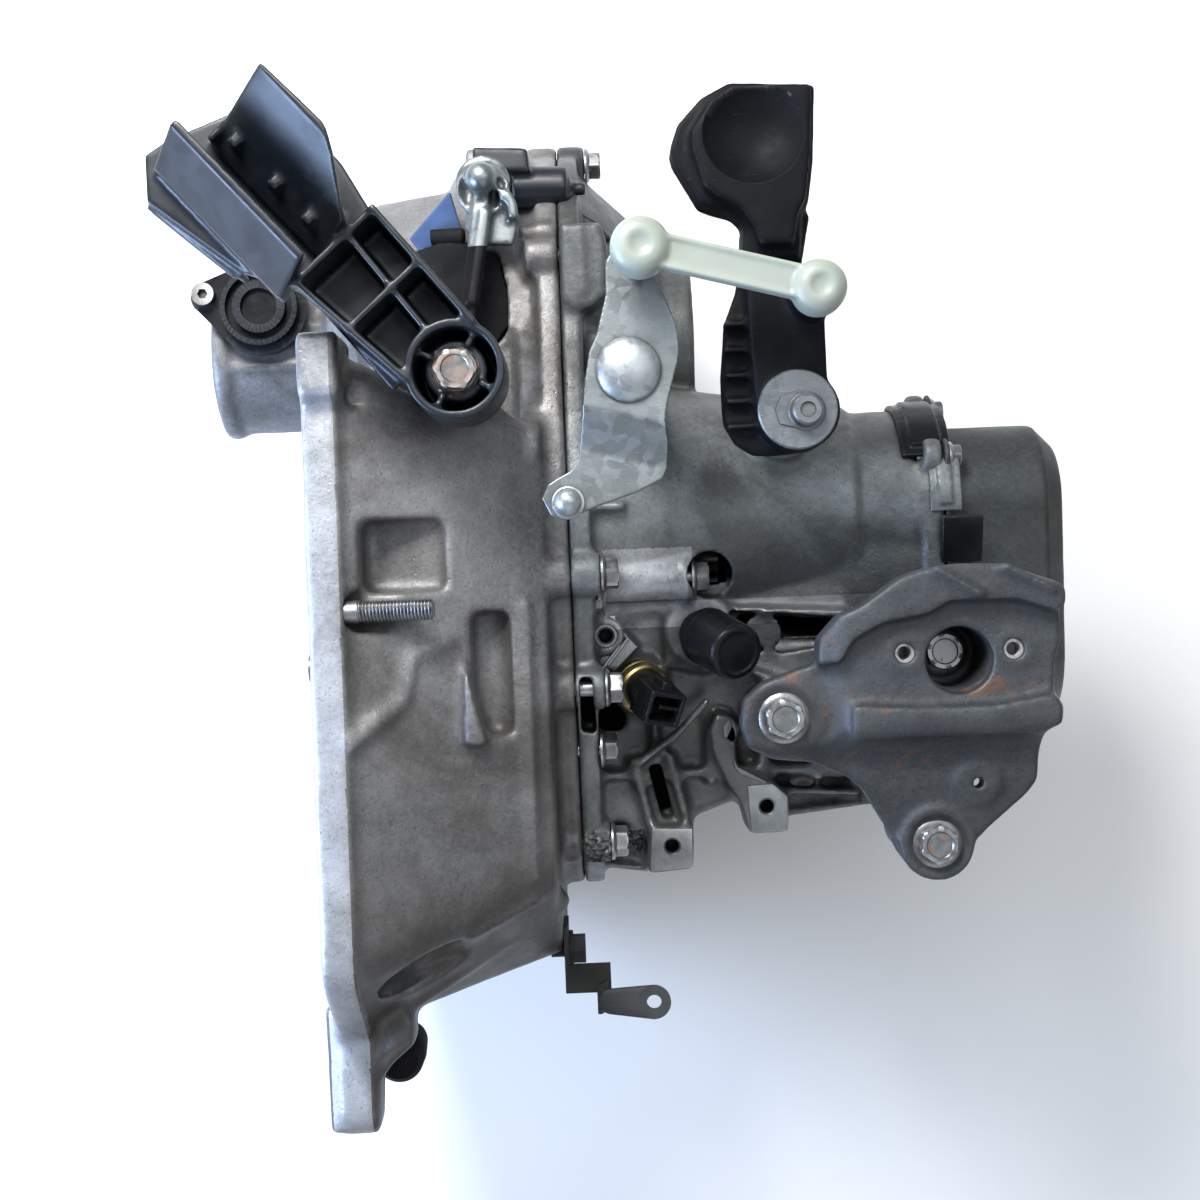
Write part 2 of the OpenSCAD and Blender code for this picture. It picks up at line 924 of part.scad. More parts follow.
module crown_wheel() {
    color(steel) {
        difference() {
            gear(crown_x[0], crown_x[1], teeth_final[1], final_m, from_dif, true, dif);
            rod(crown_x[0] - 1, crown_x[1] + 1, 44.2, dif);
            for (i = [0 : 7])
                rod(crown_x[0] - 1, crown_x[1] + 1, 4, dif + polar(52, i * 45));
        }
        for (i = [0 : 7])
            translate([crown_x[1], dif[0] + 52 * cos(i * 45), dif[1] + 52 * sin(i * 45)])
                rotate([0, 90, 0])
                    hex_bolt(10, 3.6, 5.8, 3.9, crown_x[1] - crown_x[0] - 0.5);
    }
}

module planet_pin() {
    color(steel)
    post([diff_mid_x, dif[0]], dif[1] - 43, dif[1] + 43, 6.95);
}

// Straight bevel gear with its cone's point at the origin, its teeth's back at height h and its hub's at back
module bevel(n, mod, h, aim, bore, back) {
    difference() {
        union() {
            translate([0, 0, h])
                mirror([0, 0, 1])
                    linear_extrude(height = 0.42 * h, scale = 0.58)
                        polygon(bevel_outline(n, mod, aim));
            translate([0, 0, h - 0.01])
                cylinder(h = back - h, r = n * mod / 2 - 4);
        }
        translate([0, 0, -1])
            cylinder(h = 60, r = bore);
    }
}
function bevel_outline(n, mod, aim) =
    let (r = n * mod / 2, p = 360 / n)
    [for (i = [0 : n - 1])
        for (q = [[-0.30, -3], [-0.09, 1.4], [0.09, 1.4], [0.30, -3]])
            polar(r + q[1], aim + i * p + q[0] * p)];
bevel_m = 3;
side_teeth = 14;
planet_teeth = 10;

module side_gear_left() {
    color(steel)
    translate([diff_mid_x, dif[0], dif[1]])
        rotate([0, -90, 0])
            bevel(side_teeth, bevel_m, planet_teeth * bevel_m / 2, 0, drive_bore_r, 28.8);
}

module side_gear_right() {
    color(steel)
    translate([diff_mid_x, dif[0], dif[1]])
        rotate([0, 90, 0])
            bevel(side_teeth, bevel_m, planet_teeth * bevel_m / 2, 0, drive_bore_r, 28.8);
}

module planet_gear_a() {
    color(steel)
    translate([diff_mid_x, dif[0], dif[1]])
        bevel(planet_teeth, bevel_m, side_teeth * bevel_m / 2, 18, 7, 27.4);
}

module planet_gear_b() {
    color(steel)
    translate([diff_mid_x, dif[0], dif[1]])
        rotate([180, 0, 0])
            bevel(planet_teeth, bevel_m, side_teeth * bevel_m / 2, 18, 7, 27.4);
}

// ---------- outside pieces ----------

// Cable bracket: hub ring with spokes, an open ribbed arm and a trough for two cable ends.
// It is drawn along its own arm, with the trough's floor at trough_z.
arm_a = 131.5;
bracket_c = [69.5, 127.5];
trough_z = 152;
arm_x = [14, 73];
trough_end = 141;
module arm_wall(x0, y0, x1, y1, t, z0, z1) {
    along_z(z0, z1)
        polygon([[x0, y0], [x1, y1], [x1, y1 + t], [x0, y0 + t]]);
}
module cable_bracket() {
    color(black)
    translate(bracket_c)
        rotate(arm_a)
            difference() {
                union() {
                    difference() {
                        post([0, 0], 130, 173, 21);
                        post([0, 0], 134, 174, 17.6);
                    }
                    post([0, 0], 130, 164, 13);
                    for (a = [20, 110, 200, 290])
                        rotate(a)
                            along_z(132, 168)
                                translate([11, -1.3])
                                    square([8, 2.6]);
                    // Arm
                    arm_wall(10, 16, arm_x[1], 21.5, 3, 142, 174);
                    arm_wall(8, -20.5, arm_x[1], -23, 3, 142, 174);
                    arm_wall(20, -4, arm_x[1], -8, 2.6, 142, 172);
                    arm_wall(15, -21, arm_x[1], -23, 46, 142, 146);
                    for (x = [41, arm_x[1] - 3])
                        along_z(142, 173)
                            translate([x, -21.5])
                                square([3, 44]);
                    // Floor of the trough
                    along_z(trough_z, trough_z + 5)
                        polygon([
                            [70, -20], [98, -26], [138, -27], [156, 20], [158, 32], [143, 45], [93, 36], [70, 24]
                        ]);
                    arm_wall(93, 36, 143, 44, 3, 140, trough_z + 1);
                    // Sloping front wall
                    along_x(72, 148)
                        polygon([[11.5, 193], [15.5, 193], [33, 168], [33, trough_z + 2], [30, trough_z + 2]]);
                    // Sloping rear fin, cut to its outline
                    intersection() {
                        along_x(74, trough_end)
                            polygon([[-30, 201], [-26.5, 201], [9, 162], [9, trough_z + 3], [5, trough_z + 3]]);
                        along_z(140, 210)
                            polygon([
                                [74, 12], [trough_end, 12], [138, -28], [103, -30], [93, -24], [74, -9]
                            ]);
                    }
                    arm_wall(trough_end - 3, -26, trough_end, -26, 34, trough_z + 2, 172);
                    for (x = [84, 104, 128])
                        along_z(trough_z + 3, 176)
                            translate([x, -6])
                                square([5, 9]);
                }
                post([0, 0], 120, 180, 5.1);
            }
}

module cable_bracket_bolt() {
    color(steel)
    translate([bracket_c[0], bracket_c[1], 164])
        hex_bolt(16, 8, 10, 4.9, 62);
}

bracket_top = 125;
pillar_top = [112, 101, 118];
pillar_r = [15, 17, 21];
seat_z = [112, 101, 77];
seat_r = [16, 18, 14];
shank = [60, 58, 32];
bracket_hole = [[260.4, 0], [308.9, 0]];
module mount_bracket() {
    color([0.5, 0.52, 0.56])
    difference() {
        union() {
            along_z(112, bracket_top)
                polygon(rounded([
                    [246, 20, 6], [266, 34, 4], [328, 33, 6], [328, -32, 8], [236, -34, 10], [232, 0, 14]
                ]));
            // Sloping front arm down to the lower foot
            hull() {
                along_z(104, 112.5)
                    polygon(rounded([[232, -2, 8], [327, -8, 8], [322, -58, 16], [230, -50, 10]]));
                along_z(92, 100)
                    polygon(rounded([[232, -40, 6], [318, -56, 12], [290, -92, 8], [262, -94, 8]]));
            }
            hull() {
                post(bracket_feet[0], 92, 112, 19, $fn = 32);
                along_z(92, 112.4)
                    polygon([[228, -52], [240, -54], [244, 8], [232, 12]]);
            }
            for (i = [0 : 2])
                post(bracket_feet[i], feet_z[i] + 0.1, pillar_top[i], pillar_r[i]);
            // Web under the plate
            translate([226, -30, 92])
                cube([90, 8, 22]);
            translate([262, -84, 76])
                cube([10, 78, 26]);
            // Two ribs over the rear edge
            for (x = [274, 300])
                translate([x, 14, 112])
                    rotate([20, 0, -38])
                        translate([-2.5, -8, -2])
                            cube([5, 34, 14]);
        }
        for (h = bracket_hole)
            post(h, 100, 140, bracket_hole_r);
        for (i = [0 : 2])
            post(bracket_feet[i], 40, 130, 5.2);
        for (i = [0 : 2])
            post(bracket_feet[i], seat_z[i], 130, seat_r[i]);
        post([300, -64], 90, 130, 2.6);
    }
}

module mount_bolts() {
    color(zinc)
    for (i = [0 : 2])
        translate([bracket_feet[i][0], bracket_feet[i][1], seat_z[i]])
            hex_bolt(16, 9, 12, 4.9, shank[i]);
}

module reversing_switch() {
    color(brass) {
        post(switch_c, 38, 58, 6.9);
        post(switch_c, 58, 64, 12, $fn = 6);
    }
    color(black)
    translate([switch_c[0], switch_c[1], 62])
        rotate([14, 22, 0]) {
            cylinder(h = 12, r = 9.5);
            translate([-8, -9, 10])
                cube([17, 17, 24]);
        }
}

module breather_cap() {
    color(black)
    translate([breather_c[0], breather_c[1], 66.05]) {
        translate([0, 0, -20])
            cylinder(h = 24, r = 3.9);
        cylinder(h = 12, r = 8);
        translate([0, 0, 8])
            rotate([12, 24, 0]) {
                cylinder(h = 12, r = 8.5);
                translate([0, 0, 11])
                    cylinder(h = 16, r = 12);
                translate([0, 0, 26])
                    cylinder(h = 7, r = 10);
            }
    }
}

module sensor_plug() {
    color(black)
    difference() {
        union() {
            post([-36, 180], -1, 18, 14.9);
            along_z(17.2, 24)
                belt([-36, 180], 23, [-62, 186], 8);
            post([-36, 180], 23, 29, 19);
        }
        difference() {
            post([-36, 180], 25, 30, 16.5);
            post([-36, 180], 24, 31, 13);
        }
        post([-36, 180], 26, 30, 9);
        post([-63, 187], 15, 25, 3.2);
    }
}

module sensor_plug_screw() {
    color(steel)
    difference() {
        union() {
            post([-63, 187], 24, 30, 5.5);
            post([-63, 187], -5, 24.5, 2.5);
        }
        post([-63, 187], 27, 31, 2.6, $fn = 6);
    }
}

hanger_c = [-142, 26];
module hanger_bracket() {
    color([0.2, 0.2, 0.16]) {
        difference() {
            union() {
                translate([102.05, -160, 12])
                    cube([2, 32, 34]);
                translate([102.05, -160, 44])
                    cube([22, 14, 2]);
                translate([122, -168, 44])
                    rotate([0, -20, 0])
                        cube([2, 14, 14]);
            }
            rod(98, 112, 4.2, hanger_c);
        }
        difference() {
            hull() {
                translate([124, -162, 57])
                    cylinder(h = 2, r = 6, $fn = 32);
                translate([144, -162, 62])
                    cylinder(h = 2, r = 8, $fn = 32);
            }
            post([144, -162], 40, 80, 3.5);
        }
    }
    color(steel)
    translate([104.1, hanger_c[0], hanger_c[1]])
        rotate([0, 90, 0])
            hex_bolt(13, 8, 9, 3.9, 9);
}

module starter_stud() {
    color(steel) {
        rod(9, 55, 4.95, stud_c);
    }
}

module bellcrank_pivot() {
    color(steel) {
        post(crank_c, 98, 158, 5.95);
        post(crank_c, 122.2, 130, 13);
        post(crank_c, 157, 162, 14);
    }
}

module release_pivot() {
    color(steel) {
        rod(48, front_bearing_x - 0.1, 3.95, [78, 40]);
        translate([46, 78, 40])
            rotate([0, 90, 0])
                sphere(6.5);
    }
}

module fill_plug() {
    color(steel)
    translate([135, 28, -97.05])
        rotate([180, 0, 0]) {
            cylinder(h = 7, r = 9.5, $fn = 6);
        }
}

// ---------- selector and linkage ----------

module selector_shaft() {
    color(steel) {
        post(selector_c, 38, 154, 7);
        translate([selector_c[0] - 3, selector_c[1], 38])
            cube([6, 17, 8]);
    }
}

module shift_lever() {
    color(black)
    difference() {
        union() {
            post(selector_c, 128.5, 154, 17);
            along_z(132, 150)
                polygon(rounded([
                    [185, 92, 8], [183, 146, 8], [193, 168, 8], [194, 196, 6],
                    [222, 200, 6], [217, 168, 8], [227, 143, 8], [227, 94, 8]
                ]));
            // Counterweight with a dished face
            along_z(138, 165)
                polygon(rounded([
                    [192, 172, 3], [193, 189, 5], [178, 193, 7], [163, 213, 6], [164, 226, 7],
                    [177, 241, 8], [190, 247, 7], [225, 245, 2.5], [221, 193, 6], [217, 172, 3]
                ]));
            post(ball_2, 148, 172, 9);
        }
        translate([197, 222, 186])
            sphere(30);
        post(selector_c, 120, 170, 7);
        post([ball_2[0], ball_2[1]], 140, 173, 3.9);
    }
    color(zinc) {
        post(selector_c, 154.05, 157, 18);
        translate([selector_c[0] + 2, selector_c[1], 156.9])
            cylinder(h = 9, r = 9.2, $fn = 6);
        post(ball_2, 140.5, link_z - 7, 3.85);
        translate([ball_2[0], ball_2[1], link_z])
            sphere(7);
        post(ball_2, 172.1, 174.4, 7);
    }
}

module bellcrank() {
    color(zinc) {
        difference() {
            union() {
                post(crank_c, 131, 156.8, 12);
                // Lower arm
                along_z(142, 146)
                    polygon(rounded([
                        [126, 118, 6], [133, 88, 10], [104, 76, 5], [108, 62, 5], [150, 76, 4],
                        [158, 80, 4], [156, 140, 6], [130, 140, 6]
                    ]));
                // Upper arm
                along_z(152, 156)
                    polygon(rounded([
                        [124, 118, 5], [138, 152, 10], [140, 180, 6], [156, 180, 6], [154, 150, 14],
                        [168, 124, 6], [156, 106, 6], [128, 106, 5]
                    ]));
            }
            post(crank_c, 120, 170, 6.05);
            post([114, 71], 130, 160, 4);
            post(ball_1, 140, 170, 4);
        }
        post([114, 71], 136, 152, 3.95);
        post([114, 71], 146, 148, 7);
        translate([114, 71, 157])
            sphere(6.5);
        post(ball_1, 149, link_z - 6, 3.95);
        post(ball_1, 156.1, 162, 7);
        translate([ball_1[0], ball_1[1], link_z])
            sphere(7);
    }
}

module link_rod() {
    color([0.85, 0.92, 0.85])
    difference() {
        union() {
            post(ball_1, link_z - 9, link_z + 9, 12.2);
            post(ball_2, link_z - 9, link_z + 9, 11.4);
            along_z(link_z - 5, link_z + 5)
                belt(ball_1, 7.4, ball_2, 7.4);
        }
        translate([ball_1[0], ball_1[1], link_z])
            sphere(7.3);
        translate([ball_2[0], ball_2[1], link_z])
            sphere(8);
        post(ball_1, link_z - 12, link_z, 6.2);
        post(ball_2, link_z - 12, link_z, 7);
    }
}

// ---------- clutch release ----------

module release_bearing() {
    color(steel) {
        tube_x(24, 50, 20, 17.05);
        tube_x(22, 34, 27, 19);
        for (s = [-1, 1])
            translate([36, s > 0 ? 20 : -27, -6])
                cube([4, 7, 12]);
    }
}

// Cranked lever from the release bearing to the outside
module release_fork() {
    color(steel)
    difference() {
        union() {
            // Claws behind the release bearing's ears
            for (s = [-1, 1])
                translate([42, s > 0 ? 21.5 : -29, -7])
                    cube([6, 7.5, 14]);
            along_x(49.5, 53.5)
                difference() {
                    circle(29.5);
                    circle(21.5);
                    translate([-40, -40])
                        square([80, 40]);
                }
            for (s = [-1, 1])
                translate([44, s > 0 ? 21.6 : -29.1, 0])
                    cube([9, 7.5, 7]);
            along_x(50, 56)
                polygon([[16, 26], [26, 14], [86, 32], [92, 52], [66, 56]]);
            hull() {
                translate([50, 76, 36])
                    cube([6, 12, 16]);
                translate([60, 112, 70])
                    cube([6, 12, 12]);
            }
            hull() {
                translate([60, 112, 70])
                    cube([6, 12, 12]);
                translate([76, 216, 69])
                    cube([6, 10, 12]);
            }
            post([79, 226], 68, 74, 13);
            post([79, 226], 73, 80, 5);
            translate([79, 226, 84])
                sphere(7.5);
        }
        translate([46, 78, 40])
            sphere(6.7);
        rod(40, 58, 7, [78, 40]);
    }
}

clutch_housing();
gear_case();
end_cover();
case_bolts();
cover_bolts();
release_guide();
oil_seals();
input_bearings();
output_bearings();
diff_bearings();
fork_rails();
reverse_idler_shaft();
cable_bracket();
cable_bracket_bolt();
mount_bracket();
mount_bolts();
reversing_switch();
breather_cap();
sensor_plug();
sensor_plug_screw();
hanger_bracket();
starter_stud();
bellcrank_pivot();
release_pivot();
fill_plug();
input_shaft();
input_gear_3_4();
hub_5();
input_inner_rings();
output_shaft();
output_gear_5();
synchro_hubs();
synchro_rings();
output_inner_rings();
first_gear();
second_gear();
third_gear();
fourth_gear();
fifth_gear();
sleeve_1_2();
sleeve_3_4();
sleeve_5();
fork_1_2();
fork_3_4();
fork_5();
reverse_idler();
diff_case();
crown_wheel();
diff_inner_rings();
planet_pin();
side_gear_left();
side_gear_right();
planet_gear_a();
planet_gear_b();
selector_shaft();
shift_lever();
bellcrank();
link_rod();
release_bearing();
release_fork();
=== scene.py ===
"""Looks of the five-speed transverse gearbox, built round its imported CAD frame.

Lengths in the shape code are millimetres in the CAD frame: X from the engine face to the
end cover, Y to the rear, Z up. The helpers turn them into metres.
"""

import math
import random

import bmesh
import bpy
from mathutils import Matrix, Vector
from mathutils.bvhtree import BVHTree


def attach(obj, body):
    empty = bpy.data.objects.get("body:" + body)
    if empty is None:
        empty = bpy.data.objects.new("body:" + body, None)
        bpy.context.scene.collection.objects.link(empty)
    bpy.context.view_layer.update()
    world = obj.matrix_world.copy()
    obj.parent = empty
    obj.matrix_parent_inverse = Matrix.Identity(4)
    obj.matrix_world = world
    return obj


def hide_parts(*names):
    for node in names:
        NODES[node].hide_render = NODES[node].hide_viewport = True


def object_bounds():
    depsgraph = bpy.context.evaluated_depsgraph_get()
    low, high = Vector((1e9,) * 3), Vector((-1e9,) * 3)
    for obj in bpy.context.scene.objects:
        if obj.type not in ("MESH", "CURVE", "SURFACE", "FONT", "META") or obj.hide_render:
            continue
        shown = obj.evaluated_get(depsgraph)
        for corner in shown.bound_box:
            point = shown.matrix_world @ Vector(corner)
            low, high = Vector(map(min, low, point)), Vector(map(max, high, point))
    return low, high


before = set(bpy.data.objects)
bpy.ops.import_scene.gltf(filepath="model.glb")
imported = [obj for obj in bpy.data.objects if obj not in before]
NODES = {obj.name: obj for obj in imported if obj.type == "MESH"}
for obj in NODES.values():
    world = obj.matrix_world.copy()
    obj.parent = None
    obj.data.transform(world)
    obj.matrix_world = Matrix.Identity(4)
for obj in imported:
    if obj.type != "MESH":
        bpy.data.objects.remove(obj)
cad_low, cad_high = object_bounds()
MM = 0.001
random.seed(7)

# ---------------------------------------------------------------- places from the CAD

GAP, RISE = 71.5, math.radians(12.1)
DROP, DIFF_GAP = math.radians(22), 97.5
OUT = (GAP * math.cos(RISE), GAP * math.sin(RISE))
DIF = (OUT[0] + DIFF_GAP * math.cos(DROP), OUT[1] - DIFF_GAP * math.sin(DROP))
BRACKET_C = Vector((69.5, 127.5, 0))
BRACKET_TURN = math.radians(131.5)
CRANK_C = (142, 126)
SELECTOR_C = (214.5, 106.5)
BALL_1 = (148, 172.4)
BALL_2 = (220.5, 152.9)
LINK_Z = 184
STUD_C = (28, 138)
CABLE_BALL = (114, 71)
LEVER_NUT = (216.5, 105.4)
MOUNT_HOLES = (260.4, 308.9)
LOW_BOLT, FOOT_BOLT = (206, -27), (274, -87)
SWITCH_C = (143, -12)


# ---------------------------------------------------------------- shape helpers


def aim(origin, direction, roll=0.0):
    """A placement whose local Z points along direction."""
    turn = Vector(direction).normalized().to_track_quat("Z", "Y").to_matrix().to_4x4()
    return Matrix.Translation(Vector(origin)) @ turn @ Matrix.Rotation(roll, 4, "Z")


def at(x, y, z, turn=0.0):
    """A placement at a point, turned about Z by an angle in degrees."""
    return Matrix.Translation((x, y, z)) @ Matrix.Rotation(math.radians(turn), 4, "Z")


def prism(bm, outline, low, high, place=Matrix(), taper=1.0, centre=None):
    """Closed solid from an outline, with the top scaled about its centre by taper."""
    if centre is None:
        centre = [sum(p[i] for p in outline) / len(outline) for i in (0, 1)]
    area = sum(
        outline[i - 1][0] * outline[i][1] - outline[i][0] * outline[i - 1][1]
        for i in range(len(outline))
    )
    points = outline if area > 0 else outline[::-1]
    base = [bm.verts.new(place @ Vector((x, y, low)) * MM) for x, y in points]
    top = []
    for x, y in points:
        x, y = centre[0] + (x - centre[0]) * taper, centre[1] + (y - centre[1]) * taper
        top.append(bm.verts.new(place @ Vector((x, y, high)) * MM))
    bm.faces.new(base[::-1])
    bm.faces.new(top)
    count = len(points)
    for i in range(count):
        j = (i + 1) % count
        bm.faces.new((base[i], base[j], top[j], top[i]))


def circle(bm, place, steps, radius, height):
    """A circle of new points about local Z."""
    points = []
    for k in range(steps):
        a = 2 * math.pi * k / steps
        points.append(bm.verts.new(place @ Vector((radius * math.cos(a), radius * math.sin(a), height)) * MM))
    return points


def bridge(bm, rings):
    """Faces between neighbouring rings. A ring of one point is a pole."""
    for lower, upper in zip(rings, rings[1:]):
        steps = max(len(lower), len(upper))
        for k in range(steps if steps > 1 else 0):
            j = (k + 1) % steps
            if len(lower) == 1:
                bm.faces.new((lower[0], upper[k], upper[j]))
            elif len(upper) == 1:
                bm.faces.new((lower[k], lower[j], upper[0]))
            else:
                bm.faces.new((lower[k], lower[j], upper[j], upper[k]))


def lathe(bm, profile, place=Matrix(), steps=64):
    """Closed solid turned about local Z. The profile runs from axis to axis as (radius, height)."""
    rings = []
    for radius, height in profile:
        if radius < 1e-6:
            rings.append([bm.verts.new(place @ Vector((0, 0, height)) * MM)])
        else:
            rings.append(circle(bm, place, steps, radius, height))
    bridge(bm, rings)


def drum(bm, radius, low, high, place=Matrix(), steps=64):
    """Plain round solid about local Z."""
    lathe(bm, [(0, low), (radius, low), (radius, high), (0, high)], place, steps)


def ball_arc(radius, height=0.0, steps=14):
    """Profile of a ball for lathe, from pole to pole."""
    turns = [k * math.pi / steps for k in range(steps + 1)]
    return [(radius * math.sin(a), height - radius * math.cos(a)) for a in turns]


def tube(bm, profile, place=Matrix(), steps=64):
    """Closed ring turned about local Z. The profile is a closed loop of (radius, height)."""
    rings = []
    for k in range(steps):
        a = 2 * math.pi * k / steps
        turned = [Vector((r * math.cos(a), r * math.sin(a), h)) for r, h in profile]
        rings.append([bm.verts.new(place @ point * MM) for point in turned])
    count = len(profile)
    for k in range(steps):
        near, far = rings[k], rings[(k + 1) % steps]
        for i in range(count):
            j = (i + 1) % count
            bm.faces.new((near[i], near[j], far[j], far[i]))


def bar(bm, start, end, width, height, lean=0.6, up=(0, 0, 1)):
    """Rib between two points with its back leaning in; the points lie on its base line."""
    a, b, up = Vector(start), Vector(end), Vector(up)
    side = (b - a).cross(up).normalized()
    corners = []
    for p in (a, b):
        corners.append(p - side * width / 2)
        corners.append(p + side * width / 2)
        corners.append(p + side * width / 2 * lean + up * height)
        corners.append(p - side * width / 2 * lean + up * height)
    v = [bm.verts.new(c * MM) for c in corners]
    for f in ((0, 1, 2, 3), (7, 6, 5, 4), (0, 4, 5, 1), (1, 5, 6, 2), (2, 6, 7, 3), (3, 7, 4, 0)):
        bm.faces.new([v[i] for i in f])


def rod(bm, start, end, r0, r1=None, steps=40):
    """Round bar between two points."""
    a, b = Vector(start), Vector(end)
    length = (b - a).length
    r1 = r0 if r1 is None else r1
    lathe(bm, [(0, 0), (r0, 0), (r1, length), (0, length)], aim(a, b - a), steps)


def shade_smooth(mesh):
    for p in mesh.polygons:
        p.use_smooth = True


def finish_mesh(name, bm, smooth=True, angle=35):
    """Turns a bmesh into a linked object with clean outward normals."""
    bmesh.ops.recalc_face_normals(bm, faces=bm.faces)
    mesh = bpy.data.meshes.new(name)
    bm.to_mesh(mesh)
    bm.free()
    obj = bpy.data.objects.new(name, mesh)
    bpy.context.scene.collection.objects.link(obj)
    if smooth:
        shade_smooth(mesh)
        mesh.set_sharp_from_angle(angle=math.radians(angle))
    return obj


def settle(obj):
    """Applies every modifier of a new piece."""
    bpy.context.view_layer.update()
    graph = bpy.context.evaluated_depsgraph_get()
    mesh = bpy.data.meshes.new_from_object(obj.evaluated_get(graph))
    obj.modifiers.clear()
    old = obj.data
    obj.data = mesh
    bpy.data.meshes.remove(old)
    return obj


def from_nodes(bm, *names):
    """Adds welded copies of CAD nodes' meshes."""
    for name in names:
        bm.from_mesh(NODES[name].data)
    bmesh.ops.remove_doubles(bm, verts=bm.verts, dist=2e-6)


def islands(name):
    """The separate solids of a CAD node as lists of points in millimetres."""
    bm = bmesh.new()
    from_nodes(bm, name)
    seen, found = set(), []
    for start in bm.verts:
        if start.index in seen:
            continue
        group, stack = [], [start]
        seen.add(start.index)
        while stack:
            v = stack.pop()
            group.append(v.co / MM)
            for e in v.link_edges:
                o = e.other_vert(v)
                if o.index not in seen:
                    seen.add(o.index)
                    stack.append(o)
        found.append(group)
    bm.free()
    return found


def rugged(obj, voxel, closing, rounds, waves=()):
    """Casts a shape: joins its solids, fills inner corners, softens edges, adds unevenness.

    closing is the radius of the fillets in millimetres, waves are (strength, size) pairs.
    """
    def remesh():
        m = obj.modifiers.new("join", "REMESH")
        m.mode = "VOXEL"
        m.voxel_size = voxel * MM
        settle(obj)

    def push(distance):
        m = obj.modifiers.new("push", "DISPLACE")
        m.strength = distance * MM
        m.mid_level = 0
        settle(obj)

    remesh()
    if closing:
        push(closing)
        remesh()
        push(-closing)
        remesh()
    if rounds:
        m = obj.modifiers.new("soften", "SMOOTH")
        m.iterations = rounds
        m.factor = 0.5
        settle(obj)
    for i, (strength, size) in enumerate(waves):
        texture = bpy.data.textures.new(f"{obj.name}_wave{i}", "CLOUDS")
        texture.noise_scale = size * MM
        texture.noise_depth = 2
        m = obj.modifiers.new("uneven", "DISPLACE")
        m.texture = texture
        m.texture_coords = "LOCAL"
        m.strength = strength * MM
        m.mid_level = 0.5
        settle(obj)
    shade_smooth(obj.data)
    return obj


def place_piece(obj, body, material, replaces=()):
    """Puts a finished piece on its body, with its material."""
    if material is not None:
        obj.data.materials.clear()
        for m in material if isinstance(material, (list, tuple)) else [material]:
            obj.data.materials.append(m)
    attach(obj, body)
    if replaces:
        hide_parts(*replaces)
    return obj


# ---------------------------------------------------------------- materials


